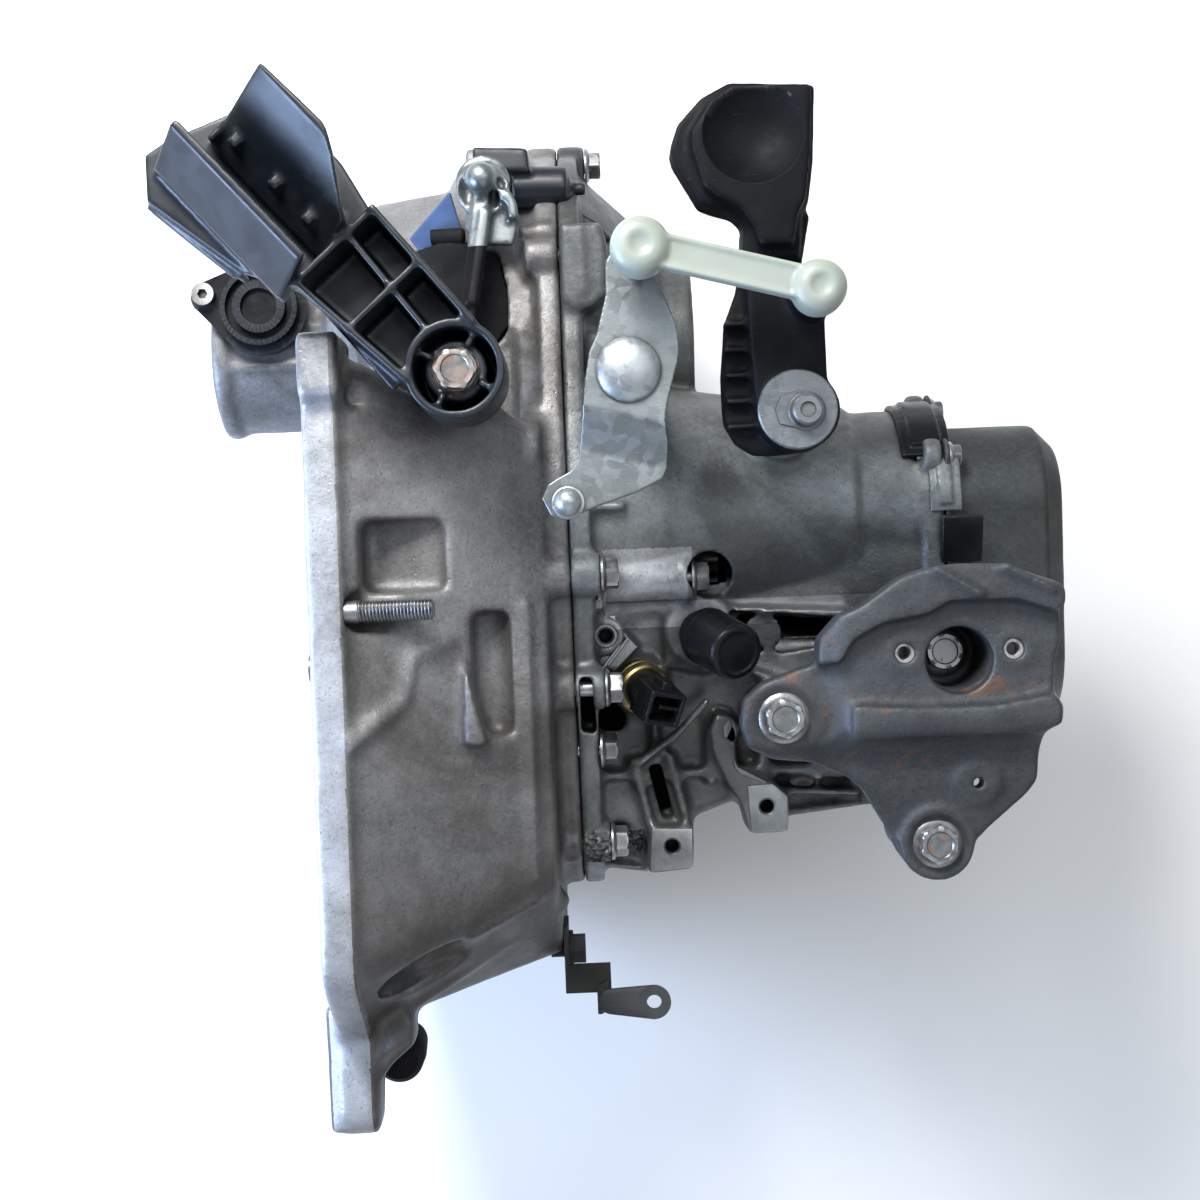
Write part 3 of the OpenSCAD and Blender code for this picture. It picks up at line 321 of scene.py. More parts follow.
class Shader:
    """Short words for building one node material."""

    def __init__(self, name):
        self.material = bpy.data.materials.new(name)
        self.material.use_nodes = True
        self.tree = self.material.node_tree
        self.out = self.tree.nodes["Material Output"]
        self.surface = self.tree.nodes["Principled BSDF"]
        self.coords = self.tree.nodes.new("ShaderNodeTexCoord").outputs["Object"]
        self.geometry = self.tree.nodes.new("ShaderNodeNewGeometry")

    def node(self, kind, **values):
        made = self.tree.nodes.new(kind)
        for key, value in values.items():
            setattr(made, key, value)
        return made

    def join(self, value, socket):
        if isinstance(value, bpy.types.NodeSocket):
            self.tree.links.new(value, socket)
        else:
            socket.default_value = value

    def noise(self, scale, detail=4.0, rough=0.55, stretch=None, distortion=0.0):
        coords = self.coords
        if stretch:
            mapping = self.node("ShaderNodeMapping")
            self.join(coords, mapping.inputs["Vector"])
            mapping.inputs["Scale"].default_value = stretch
            coords = mapping.outputs[0]
        made = self.node("ShaderNodeTexNoise")
        self.join(coords, made.inputs["Vector"])
        made.inputs["Scale"].default_value = scale
        made.inputs["Detail"].default_value = detail
        made.inputs["Roughness"].default_value = rough
        made.inputs["Distortion"].default_value = distortion
        return made.outputs["Fac"]

    def cells(self, scale, feature="F1", output="Distance", randomness=1.0):
        made = self.node("ShaderNodeTexVoronoi", feature=feature)
        self.join(self.coords, made.inputs["Vector"])
        made.inputs["Scale"].default_value = scale
        made.inputs["Randomness"].default_value = randomness
        return made.outputs[output]

    def steps(self, value, low, high, to_low=0.0, to_high=1.0):
        made = self.node("ShaderNodeMapRange")
        self.join(value, made.inputs["Value"])
        for key, number in (("From Min", low), ("From Max", high), ("To Min", to_low), ("To Max", to_high)):
            made.inputs[key].default_value = number
        return made.outputs["Result"]

    def blend(self, amount, first, second, mode="MIX"):
        made = self.node("ShaderNodeMix", data_type="RGBA", blend_type=mode)
        self.join(amount, made.inputs["Factor"])
        for value, socket in ((first, made.inputs["A"]), (second, made.inputs["B"])):
            if isinstance(value, (tuple, list)):
                value = (*value, 1)
            self.join(value, socket)
        return made.outputs["Result"]

    def tint(self, base, mask, share, colour):
        """Lays a colour over the base where the mask is high."""
        return self.blend(self.maths("MULTIPLY", mask, share), base, colour)

    def patches(self, scale, detail, rough, *limits, **shape):
        """Noise cut to soft-edged patches between two limits."""
        return self.steps(self.noise(scale, detail, rough, **shape), *limits)

    def maths(self, kind, first, second=0.0):
        made = self.node("ShaderNodeMath", operation=kind)
        self.join(first, made.inputs[0])
        self.join(second, made.inputs[1])
        return made.outputs[0]

    def crevice(self, distance, inside=False):
        """Occlusion by nearby surfaces: 1 in the open, 0 in deep corners."""
        made = self.node("ShaderNodeAmbientOcclusion", samples=6, inside=inside)
        made.inputs["Distance"].default_value = distance * MM
        return made.outputs["AO"]

    def bump(self, height, strength, distance, normal=None):
        made = self.node("ShaderNodeBump")
        self.join(height, made.inputs["Height"])
        made.inputs["Strength"].default_value = strength
        made.inputs["Distance"].default_value = distance * MM
        if normal is not None:
            self.join(normal, made.inputs["Normal"])
        return made.outputs["Normal"]

    def finish(self, colour, roughness, normal=None, metallic=0.0, **constants):
        if isinstance(colour, tuple):
            colour = (*colour, 1)
        self.join(colour, self.surface.inputs["Base Color"])
        self.join(roughness, self.surface.inputs["Roughness"])
        self.join(metallic, self.surface.inputs["Metallic"])
        if normal is not None:
            self.join(normal, self.surface.inputs["Normal"])
        for key, value in constants.items():
            self.surface.inputs[key.replace("_", " ")].default_value = value
        return self.material


def casting(name, light, dark, stain, stain_share, grime_and_shade, metal=0.55, rust=0.0, grain=1.0, painted_shade_span=None):
    """Sand-cast aluminium: blotches, pits, oil stains, dirt and painted shade in corners, and worn edges;
    when a span of Y is given, also a painted shade that darkens along Y.
    """
    s = Shader(name)
    blotch = s.patches(14, 6, 0.6, 0.36, 0.66)
    colour = s.blend(blotch, dark, light)
    fine = s.patches(420, 3, 0.7, 0.3, 0.72)
    colour = s.tint(colour, fine, 0.35, tuple(c * 1.45 for c in light))
    stains = s.patches(9, 8, 0.62, 0.56 - stain_share, 0.7 - stain_share, distortion=0.6)
    colour = s.tint(colour, stains, 0.62, stain)
    specks = s.patches(900, 2, 0.5, 0.62, 0.7)
    colour = s.tint(colour, specks, 0.5, tuple(c * 0.35 for c in dark))
    runs = s.patches(30, 5, 0.6, 0.6, 0.72, stretch=(1.0, 0.18, 1.0))
    colour = s.tint(colour, runs, 0.3, tuple(c * 0.45 for c in stain))
    # Painted shade: the colour darkens across the given span of Y, with a noisy edge
    if painted_shade_span:
        place = s.node("ShaderNodeSeparateXYZ")
        s.join(s.coords, place.inputs[0])
        overlay_mask = s.steps(s.maths("ADD", place.outputs["Y"], s.patches(11, 5, 0.55, 0, 1, -0.03, 0.03)), *painted_shade_span)
        colour = s.tint(colour, overlay_mask, 0.62, (0.035, 0.034, 0.034))
    if rust:
        marks = s.patches(46, 6, 0.7, 0.66 - rust * 0.06, 0.74, distortion=1.2)
        colour = s.tint(colour, marks, 0.75, (0.21, 0.075, 0.022))
    # Dirt and painted shade: darker in corners and hollows that nearby surfaces occlude, broken up by noise
    # patches, with the metal dulled there
    open_sky = s.crevice(9)
    dirt_and_shade = s.steps(open_sky, 0.35, 0.95, 1.0, 0.0)
    dirt_and_shade = s.maths("MULTIPLY", dirt_and_shade, s.patches(60, 4, 0.6, 0.25, 0.6, 0.55, 1.0))
    colour = s.tint(colour, dirt_and_shade, grime_and_shade, (0.016, 0.014, 0.012))
    edge = s.steps(s.geometry.outputs["Pointiness"], 0.52, 0.6)
    edge = s.maths("MULTIPLY", edge, s.patches(120, 3, 0.55, 0.35, 0.65))
    colour = s.tint(colour, edge, 0.55, tuple(min(1, c * 2.1) for c in light))
    rough = s.patches(60, 5, 0.6, 0.3, 0.7, 0.42, 0.68)
    rough = s.maths("SUBTRACT", rough, s.maths("MULTIPLY", stains, 0.12))
    chips = s.patches(150, 5, 0.7, 0.66, 0.7, distortion=0.5)
    sand = s.maths("SUBTRACT", s.noise(650, 4, 0.65), s.maths("MULTIPLY", chips, 0.8))
    pits = s.steps(s.cells(260), 0.0, 0.22)
    pits = s.maths("MAXIMUM", pits, s.patches(38, 3, 0.55, 0.4, 0.52))
    normal = s.bump(sand, 0.45 * grain, 0.35)
    normal = s.bump(pits, 0.35 * grain, 0.5, normal)
    normal = s.bump(s.noise(85, 4, 0.6), 0.25 * grain, 1.2, normal)
    metallic = s.maths("SUBTRACT", metal, s.maths("MULTIPLY", dirt_and_shade, metal * 0.8))
    return s.finish(colour, rough, normal, metallic)


def machined(name, colour, rough=0.3, lines=0.4, oil=(0.10, 0.075, 0.045), oil_share=0.35):
    """Ground or turned steel with fine marks and a film of old oil."""
    s = Shader(name)
    marks = s.noise(300, 3, 0.6, stretch=(8.0, 1.0, 1.0))
    overlay_mask = s.patches(40, 5, 0.6, 0.45, 0.65)
    shade = s.blend(s.steps(marks, 0.3, 0.7), tuple(c * 0.72 for c in colour), colour)
    shade = s.tint(shade, overlay_mask, oil_share, oil)
    # Dirt and painted shade: darker in corners that nearby surfaces occlude
    dirt_and_shade = s.steps(s.crevice(5), 0.3, 0.9, 0.8, 0.0)
    shade = s.blend(dirt_and_shade, shade, (0.02, 0.017, 0.014))
    roughness = s.patches(90, 4, 0.55, 0.3, 0.7, rough * 0.75, rough * 1.4)
    normal = s.bump(marks, 0.12 * lines, 0.2)
    return s.finish(shade, roughness, normal, 1.0)


def bolt_metal(name, colour, rust_share):
    """Plated bolt, dulled, with rust, and with dirt and painted shade in its corners."""
    s = Shader(name)
    dull = s.patches(160, 5, 0.65, 0.3, 0.7)
    shade = s.blend(dull, tuple(c * 0.55 for c in colour), colour)
    rust = s.patches(120, 6, 0.7, 0.62 - rust_share * 0.2, 0.7 - rust_share * 0.08, distortion=0.8)
    shade = s.tint(shade, rust, 0.85, (0.19, 0.075, 0.028))
    # Dirt and painted shade: darker in corners that nearby surfaces occlude
    dirt_and_shade = s.steps(s.crevice(4), 0.35, 0.95, 0.85, 0.0)
    shade = s.blend(dirt_and_shade, shade, (0.02, 0.016, 0.013))
    edge = s.steps(s.geometry.outputs["Pointiness"], 0.53, 0.62)
    shade = s.tint(shade, edge, 0.5, (0.75, 0.76, 0.78))
    rough = s.maths("ADD", s.steps(dull, 0, 1, 0.28, 0.45), s.maths("MULTIPLY", rust, 0.35))
    metallic = s.steps(rust, 0, 1, 0.95, 0.25)
    normal = s.bump(s.noise(500, 4, 0.6), 0.25, 0.2)
    return s.finish(shade, rough, normal, metallic)


def zinc(name, light, dark, spangle=130):
    """Galvanised plate with crystals, satin patches and fine scratches."""
    s = Shader(name)
    crystal = s.cells(spangle, output="Color")
    grey = s.node("ShaderNodeRGBToBW")
    s.join(crystal, grey.inputs[0])
    tone = s.steps(grey.outputs[0], 0.2, 0.8)
    shade = s.blend(tone, dark, light)
    wear = s.patches(26, 6, 0.6, 0.42, 0.62)
    shade = s.tint(shade, wear, 0.45, (0.20, 0.21, 0.21))
    stain = s.patches(18, 7, 0.65, 0.58, 0.7, distortion=0.5)
    shade = s.tint(shade, stain, 0.4, (0.20, 0.18, 0.14))
    scratch = s.patches(240, 2, 0.5, 0.66, 0.7, stretch=(1.0, 12.0, 1.0))
    shade = s.tint(shade, scratch, 0.35, (0.5, 0.52, 0.54))
    # Dirt and painted shade: darker in corners that nearby surfaces occlude
    dirt_and_shade = s.steps(s.crevice(5), 0.35, 0.95, 0.75, 0.0)
    shade = s.blend(dirt_and_shade, shade, (0.05, 0.045, 0.038))
    rough = s.maths("ADD", s.steps(tone, 0, 1, 0.30, 0.46), s.maths("MULTIPLY", wear, 0.14))
    normal = s.bump(s.noise(420, 4, 0.6), 0.22, 0.25)
    normal = s.bump(s.noise(60, 3, 0.5), 0.15, 0.8, normal)
    return s.finish(shade, rough, normal, 0.82)


def black_plastic(name, colour, rough=0.36, dust=0.35, grain=0.5, coat=0.0, metallic=0.0, gloss=0.2):
    """Moulded or coated black: fine grain, dust, scuffs and worn edges."""
    s = Shader(name)
    tone = s.patches(20, 5, 0.6, 0.3, 0.7)
    shade = s.blend(tone, tuple(c * 0.7 for c in colour), tuple(c * 1.35 for c in colour))
    dusty = s.patches(34, 7, 0.68, 0.5, 0.72, distortion=0.4)
    shade = s.tint(shade, dusty, dust * 0.4, (0.035, 0.032, 0.028))
    scuff = s.patches(190, 3, 0.6, 0.66, 0.72, stretch=(1.0, 7.0, 2.0))
    shade = s.tint(shade, scuff, 0.3, (0.07, 0.07, 0.075))
    edge = s.steps(s.geometry.outputs["Pointiness"], 0.53, 0.62)
    shade = s.tint(shade, edge, 0.35, (0.12, 0.125, 0.135))
    corner = s.steps(s.crevice(6), 0.3, 0.9, 0.6, 0.0)
    shade = s.tint(shade, corner, dust, (0.02, 0.018, 0.015))
    roughness = s.maths("ADD", s.patches(70, 5, 0.55, 0.3, 0.7, rough * 0.8, rough * 1.2),
                        s.maths("MULTIPLY", dusty, 0.22))
    normal = s.bump(s.noise(900, 3, 0.6), 0.16 * grain, 0.15)
    normal = s.bump(s.noise(50, 4, 0.5), 0.14 * grain, 0.8, normal)
    return s.finish(shade, roughness, normal, metallic, Coat_Weight=coat, Coat_Roughness=0.2,
                    Specular_IOR_Level=gloss)


def milky(name):
    """Natural nylon: milky, a little green, with grey dust and flow marks."""
    s = Shader(name)
    flow = s.patches(22, 5, 0.55, 0.3, 0.7)
    shade = s.blend(flow, (0.26, 0.292, 0.258), (0.33, 0.362, 0.32))
    dust = s.patches(60, 7, 0.7, 0.54, 0.74)
    shade = s.tint(shade, dust, 0.3, (0.24, 0.24, 0.22))
    # Painted shade: darker grey in corners and hollows that nearby surfaces occlude
    corner = s.steps(s.crevice(5), 0.3, 0.9, 0.55, 0.0)
    shade = s.blend(corner, shade, (0.22, 0.22, 0.19))
    rough = s.patches(80, 4, 0.55, 0.3, 0.7, 0.34, 0.5)
    normal = s.bump(s.noise(300, 4, 0.6), 0.12, 0.2)
    s.surface.inputs["Subsurface Radius"].default_value = (0.9, 1.0, 0.8)
    return s.finish(shade, rough, normal, 0.0, Subsurface_Weight=0.35, Subsurface_Scale=0.004)


def brass_metal(name):
    s = Shader(name)
    tone = s.patches(70, 5, 0.6, 0.3, 0.7)
    shade = s.blend(tone, (0.34, 0.25, 0.11), (0.62, 0.50, 0.26))
    # Dirt and painted shade: darker in corners that nearby surfaces occlude
    dirt_and_shade = s.steps(s.crevice(4), 0.35, 0.95, 0.85, 0.0)
    shade = s.blend(dirt_and_shade, shade, (0.03, 0.024, 0.016))
    rough = s.patches(120, 4, 0.55, 0.3, 0.7, 0.28, 0.5)
    normal = s.bump(s.noise(350, 4, 0.6), 0.2, 0.2)
    return s.finish(shade, rough, normal, 0.95)


def rubber(name, colour=(0.012, 0.012, 0.013)):
    s = Shader(name)
    tone = s.patches(40, 5, 0.6, 0.35, 0.7)
    shade = s.blend(tone, colour, tuple(c * 2.6 for c in colour))
    rough = s.patches(90, 4, 0.55, 0.3, 0.7, 0.65, 0.85)
    normal = s.bump(s.noise(260, 4, 0.6), 0.3, 0.3)
    return s.finish(shade, rough, normal, Specular_IOR_Level=0.1)


# Painted shade along Y: the bell darkens towards the front (-Y), the case towards the rear (+Y)
BELL = casting("bell_cast", (0.285, 0.282, 0.285), (0.12, 0.119, 0.122), (0.062, 0.055, 0.045), 0.11, 0.9,
               painted_shade_span=(0.06, -0.17))
RIM = casting("bell_rim", (0.40, 0.405, 0.42), (0.24, 0.245, 0.255), (0.08, 0.075, 0.07), 0.06, 0.85)
CASE = casting("case_cast", (0.25, 0.268, 0.272), (0.105, 0.116, 0.118), (0.040, 0.040, 0.037), 0.10, 0.95,
               painted_shade_span=(0.10, 0.135))
CASE_BARE = casting("case_bare", (0.46, 0.475, 0.50), (0.24, 0.25, 0.265), (0.08, 0.078, 0.07), 0.06, 0.9)
MOUNT = casting("mount_cast", (0.072, 0.077, 0.084), (0.030, 0.033, 0.037), (0.028, 0.026, 0.024), 0.05, 0.9,
                0.55, 1.0)
COVER = casting("cover_press", (0.072, 0.080, 0.082), (0.034, 0.039, 0.040), (0.035, 0.034, 0.03), 0.06, 0.8,
                0.55, 0.0, 0.5)
LAND = machined("milled_face", (0.40, 0.415, 0.43), 0.36, 0.9, (0.09, 0.085, 0.075), 0.3)
STEEL = machined("steel_ground", (0.52, 0.52, 0.52))
GEARS = machined("steel_gears", (0.40, 0.40, 0.41), 0.26, 0.6, (0.12, 0.085, 0.04), 0.45)
IRON = machined("iron_machined", (0.20, 0.20, 0.205), 0.4, 0.8)
BOLT = bolt_metal("bolt_plated", (0.34, 0.345, 0.35), 0.15)
RUSTY = bolt_metal("bolt_rusty", (0.30, 0.29, 0.28), 1.0)
ZINC = zinc("zinc_plate", (0.26, 0.285, 0.295), (0.195, 0.218, 0.228), 210)
HUB = zinc("zinc_hub", (0.46, 0.49, 0.51), (0.36, 0.39, 0.41), 300)
WASHER = zinc("zinc_washer", (0.165, 0.18, 0.20), (0.12, 0.13, 0.145), 300)
BRACKET = black_plastic("plastic_bracket", (0.006, 0.009, 0.014), 0.36, 0.2, 0.8, gloss=0.5)
SMOOTH_BLACK = black_plastic("plastic_smooth", (0.006, 0.0065, 0.008), 0.30, 0.2, 0.4)
LEVER = black_plastic("lever_coat", (0.0042, 0.0046, 0.006), 0.55, 0.2, 1.2, gloss=0.1)
DARK_STEEL = black_plastic("lever_inner", (0.012, 0.012, 0.013), 0.45, 0.4, 1.0, 0.0, 0.5)
# Black plastic with a blue base colour: the blue is a painted reflection of bluish light
PAINTED_BLUE_SHEEN = black_plastic("plastic_painted_blue_sheen", (0.055, 0.085, 0.17), 0.4, 0.2, 0.8)
HANGER = black_plastic("hanger_coat", (0.014, 0.015, 0.011), 0.5, 0.4, 0.9)
MILKY = milky("nylon_link")
BRASS = brass_metal("brass_parts")
RUBBER = rubber("rubber_seal", (0.006, 0.006, 0.0065))

# ---------------------------------------------------------------- CAD nodes that stay


def paint(material, *names):
    """Gives CAD nodes that stay visible their one material."""
    for name in names:
        slots = NODES[name].data.materials
        slots.clear()
        slots.append(material)


PAINT = {
    STEEL: ["release_guide", "input_bearings", "output_bearings", "diff_bearings", "fork_rails",
            "reverse_idler_shaft", "input_inner_rings", "output_inner_rings", "diff_inner_rings",
            "planet_pin", "selector_shaft", "release_bearing", "release_pivot"],
    GEARS: ["input_shaft", "input_gear_3_4", "hub_5", "output_shaft", "output_gear_5", "synchro_hubs",
            "first_gear", "second_gear", "third_gear", "fourth_gear", "fifth_gear", "sleeve_1_2",
            "sleeve_3_4", "sleeve_5", "reverse_idler", "crown_wheel", "side_gear_left",
            "side_gear_right", "planet_gear_a", "planet_gear_b"],
    BRASS: ["fork_1_2", "fork_3_4", "fork_5", "synchro_rings"],
    IRON: ["diff_case"],
    RUBBER: ["oil_seals"],
}
for material, names in PAINT.items():
    paint(material, *names)


# ---------------------------------------------------------------- castings


def carve(obj, tool_bm):
    """Cuts the closed solids of tool_bm out of a remeshed piece."""
    tool = finish_mesh(obj.name + "_tool", tool_bm, smooth=False)
    m = obj.modifiers.new("carve", "BOOLEAN")
    m.operation = "DIFFERENCE"
    m.solver = "MANIFOLD"
    m.object = tool
    settle(obj)
    bpy.data.objects.remove(tool)


def lift(obj, rise):
    """Raises every point of a piece by rise(x, y) millimetres."""
    for v in obj.data.vertices:
        v.co.z += rise(v.co.x / MM, v.co.y / MM) * MM


def top_of(*names):
    """A function that gives the height of the named CAD nodes' upper surface at a point."""
    bm = bmesh.new()
    from_nodes(bm, *names)
    tree = BVHTree.FromBMesh(bm)
    bm.free()

    def height(x, y):
        hit = tree.ray_cast(Vector((x, y, 400)) * MM, Vector((0, 0, -1)))[0]
        return hit.z / MM

    return height


def mesh_of(bm, name):
    return finish_mesh(name, bm, smooth=False)


def bell_casting():
    bm = bmesh.new()
    from_nodes(bm, "clutch_housing")
    top = top_of("clutch_housing")
    # Sloping end of the first roof pocket and the ragged edge of the second
    slope = Matrix(((1, 0, 0, 0), (0, 0, 1, 0), (0, 1, 0, 0), (0, 0, 0, 1)))
    rim = top(66, 50) - 2.5
    prism(bm, [(34, 110), (62, 110), (62, rim), (59, rim), (50, rim - 7)], 32, 70, slope)
    rim = top(90, 0) - 2.5
    prism(bm, [(74, 93), (88, 93), (88, rim), (85, rim), (79, rim - 10)], -32, 28, slope)
    prism(bm, [(64, -33), (74, -33), (69, -14), (65, 4)], 96, 126)
    # Raised field of the roof, ending in a rounded step
    field = [(15, -29), (38, -12), (42, 8), (60, 14), (64, -40), (60, -110), (26, -140), (15, -140)]
    for low, high in zip(field, field[1:] + field[:1]):
        start = (low[0], low[1], top(*low) - 3)
        end = (high[0], high[1], top(*high) - 3)
        if low[1] > -30 and high[1] > -35:
            bar(bm, start, end, 9, 5)
    # Ribs on the front slope and behind the flange
    for (x0, y0), (x1, y1) in (((34, -132), (94, -104)), ((92, 30), (92, -96)), ((99, 96), (99, 160))):
        last = (x0, y0, top(x0, y0) - 4)
        for step in range(1, 7):
            t = step / 6
            x, y = x0 + (x1 - x0) * t, y0 + (y1 - y0) * t
            here = (x, y, top(x, y) - 4)
            bar(bm, last, here, 6, 6.5)
            last = here
    # Flared ear at the front, with its round end
    prism(bm, [(-6, -150), (30, -150), (34, -158), (34, -169), (24, -177), (18, -185), (17, -206),
               (-5, -208)], 78, 102)
    bar(bm, (28, -166, 102), (6, -186, 102), 3, 2)
    # Lugs at the joint beside the release lever
    prism(bm, [(93, 208), (103, 207), (103.5, 186), (93, 184)], 30, 64)
    prism(bm, [(103, 209), (112, 208), (112, 120), (103, 120)], 40, 65)
    # Fins on the output tube
    for a in (72, 104):
        y = DIF[0] + 37 * math.cos(math.radians(a))
        z = DIF[1] + 37 * math.sin(math.radians(a))
        bar(bm, (-60, y, z), (2, y, z), 3, 3.4)
    tube(bm, [(37, 0), (40.5, 0), (40.5, 7), (37, 7)], aim((-62, *DIF), (1, 0, 0)), 72)
    obj = mesh_of(bm, "bell_casting")
    rugged(obj, 1.4, 1.7, 1)
    tool = bmesh.new()
    # Window over the release lever
    prism(tool, [(44, 198), (62, 204), (84, 196), (88, 178), (88, 158), (78, 146), (58, 150), (48, 168)], 56,
          130)
    # Path of the release lever's outer end
    prism(tool, [(66, 200), (101, 200), (101, 242), (66, 242)], 66.8, 100)
    prism(tool, [(56, 98), (91, 98), (91, 152), (56, 152)], 65, 96)
    # Round dimple in the roof
    drum(tool, 6, 0, 5, at(24, 122, top(24, 122) - 2))
    carve(obj, tool)
    rugged(obj, 1.5, 0, 2, ((0.7, 34), (0.25, 7)))
    place_piece(obj, "housing", [BELL, RIM], ["clutch_housing"])
    for p in obj.data.polygons:
        if -4 * MM < p.center.x < 14 * MM:
            p.material_index = 1
    # Gaiter in the window
    bm = bmesh.new()
    gaiter = [(44, 197), (62, 203), (84, 195), (88, 178), (88, 160), (78, 147), (56, 149), (46, 168)]
    prism(bm, gaiter, 54, 60)
    for k in range(3):
        prism(bm, gaiter, 58 + 2.5 * k, 61.5 + 2.5 * k, taper=0.88 - 0.16 * k)
    obj = mesh_of(bm, "release_gaiter")
    rugged(obj, 1.0, 0, 2)
    place_piece(obj, "housing", RUBBER)


def deck_details(bm):
    """Solids on the gear case between the joint and the mount bracket."""
    # Smooth block beside the joint, with a raised lip
    prism(bm, [(113, 58.5), (128, 58), (130, 52), (129, 24), (113, 23.8)], 44, 79, taper=0.97)
    # Round boss along the case, with its end bands
    rod(bm, (128, 39, 66), (166, 38, 66), 12.5, 10.6)
    rod(bm, (165, 38, 66), (169, 38, 66), 12.2)
    prism(bm, [(128, 20), (170, 22), (166, 52), (128, 58)], 44, 62, taper=0.9)
    # Bright ledge under the body
    bar(bm, (130, 25, 55), (243, 18, 53), 4, 7)
    prism(bm, [(130, 24), (243, 17), (243, 30), (130, 34)], 30, 56)
    # Plate of the rear hole and its grooved arm
    prism(bm, [(113, 22.6), (133.7, 21.8), (134.7, 16), (144, 6.5), (131, -6), (124, -2), (113, 3)], 46, 65)
    # Cup under the cap and the boss of the switch
    lathe(bm, [(0, 30), (17.5, 30), (17.5, 62), (16.5, 65), (0, 65)], at(173, 13, 0))
    prism(bm, [(156, 26), (178, 26), (190, 4), (176, -8), (156, -4)], 40, 60)
    lathe(bm, [(0, 30), (15, 30), (14, 55), (0, 57)], at(143, -12, 0))
    # Ribs that meet on the slope
    for start, end in (((176, -20, 53), (157, -40, 47)), ((160, -36, 48), (141, -51, 43)),
                       ((197, -8, 50), (214, -14, 50)), ((196, -56, 34), (243, -61, 28)),
                       ((200, -66, 31), (250, -70, 25))):
        bar(bm, start, end, 4, 9)
    # Rounded body under the mount bracket's low foot
    prism(bm, [(190, -48), (264, -48), (264, -74), (240, -79), (214, -82), (190, -78)], -34, 22, taper=0.94)
    bar(bm, (212, -80, 21), (262, -75, 21), 4, 4)
    # Forked arm down to the front hole at the end
    prism(bm, [(179, -27), (187, -29), (191, -35), (188, -42), (189, -55), (205, -61), (213, -68),
               (212, -86), (193, -86), (190, -72), (183, -60), (177, -46), (176, -36)], 18, 52)
    # Ribs and block of the front hole
    prism(bm, [(112, -76), (146, -80), (146, -106), (112, -101)], -10, 20)
    bar(bm, (112, -78, 18), (147, -83, 18), 4, 12)
    bar(bm, (112, -100, 16), (146, -105, 16), 4, 9)
    for start, end in (((139, -48, 34), (147, -84, 26)), ((156, -46, 34), (165, -84, 26))):
        bar(bm, start, end, 6.5, 16)
    prism(bm, [(145.6, -81), (167, -82), (166, -102.5), (144, -104)], -12, 46)
    # Lug with a rounded end beside the linkage
    prism(bm, [(114, 205), (133, 205), (136, 195), (135, 172), (128, 165), (118, 165.5), (114, 170)], 20, 78)
    bar(bm, (123, 204, 77.5), (124, 172, 77.5), 2.5, 2)
    # Ears beside the bellcrank's pillar
    prism(bm, [(114, 158), (130, 156), (150, 140), (150, 112), (128, 108), (114, 112)], 30, 66)


def land(bm, outline, low, high, holes=()):
    """Flat milled face with chamfered edges and round holes."""
    part = bmesh.new()
    prism(part, outline, low, high)
    bmesh.ops.bevel(part, geom=[e for e in part.edges], offset=0.6 * MM, segments=2, profile=0.6,
                    affect="EDGES")
    mesh = bpy.data.meshes.new("land")
    part.to_mesh(mesh)
    part.free()
    obj = bpy.data.objects.new("land", mesh)
    bpy.context.scene.collection.objects.link(obj)
    for x, y, r in holes:
        tool = bmesh.new()
        lathe(tool, [(0, low - 2), (r, low - 2), (r, high - 0.9), (r + 1.2, high + 0.3), (0, high + 0.3)],
              at(x, y, 0), 40)
        carve(obj, tool)
    bm.from_mesh(obj.data)
    bpy.data.objects.remove(obj)


def milled_faces():
    """Bright machined lands of the gear case."""
    bm = bmesh.new()
    land(bm, [(114, 57.5), (126, 57), (128, 51), (127, 25), (114, 25)], 76, 80.5)
    bar(bm, (126.6, 51, 80.6), (125.8, 29, 80.6), 2.4, 2.4)
    land(bm, [(114, 22), (133, 21.4), (134, 15.5), (143, 6.5), (131, -5), (124, -1), (114, 3)], 60, 66.5,
         [(128, 12, 3.4)])
    for x, y in ((138.5, 10.5), (134.6, 7)):
        bar(bm, (x, y, 66.8), (x - 10, y - 12, 66.8), 1.8, 1.8)
    land(bm, [(146.5, -82), (166, -82.8), (165.6, -101.6), (145, -103)], 40, 46.8, [(156, -91, 3.4)])
    land(bm, [(193, -63), (205, -62), (212, -68.5), (211.5, -85), (194, -85)], 44, 52.8, [(202, -73, 3.4)])
    land(bm, [(180, -28.5), (185, -30), (187.5, -34), (183, -40), (188, -54), (205, -62), (193, -63),
              (184, -59), (178.5, -46), (177.5, -36)], 46, 51.6)
    obj = finish_mesh("milled_lands", bm, angle=34)
    place_piece(obj, "housing", LAND)


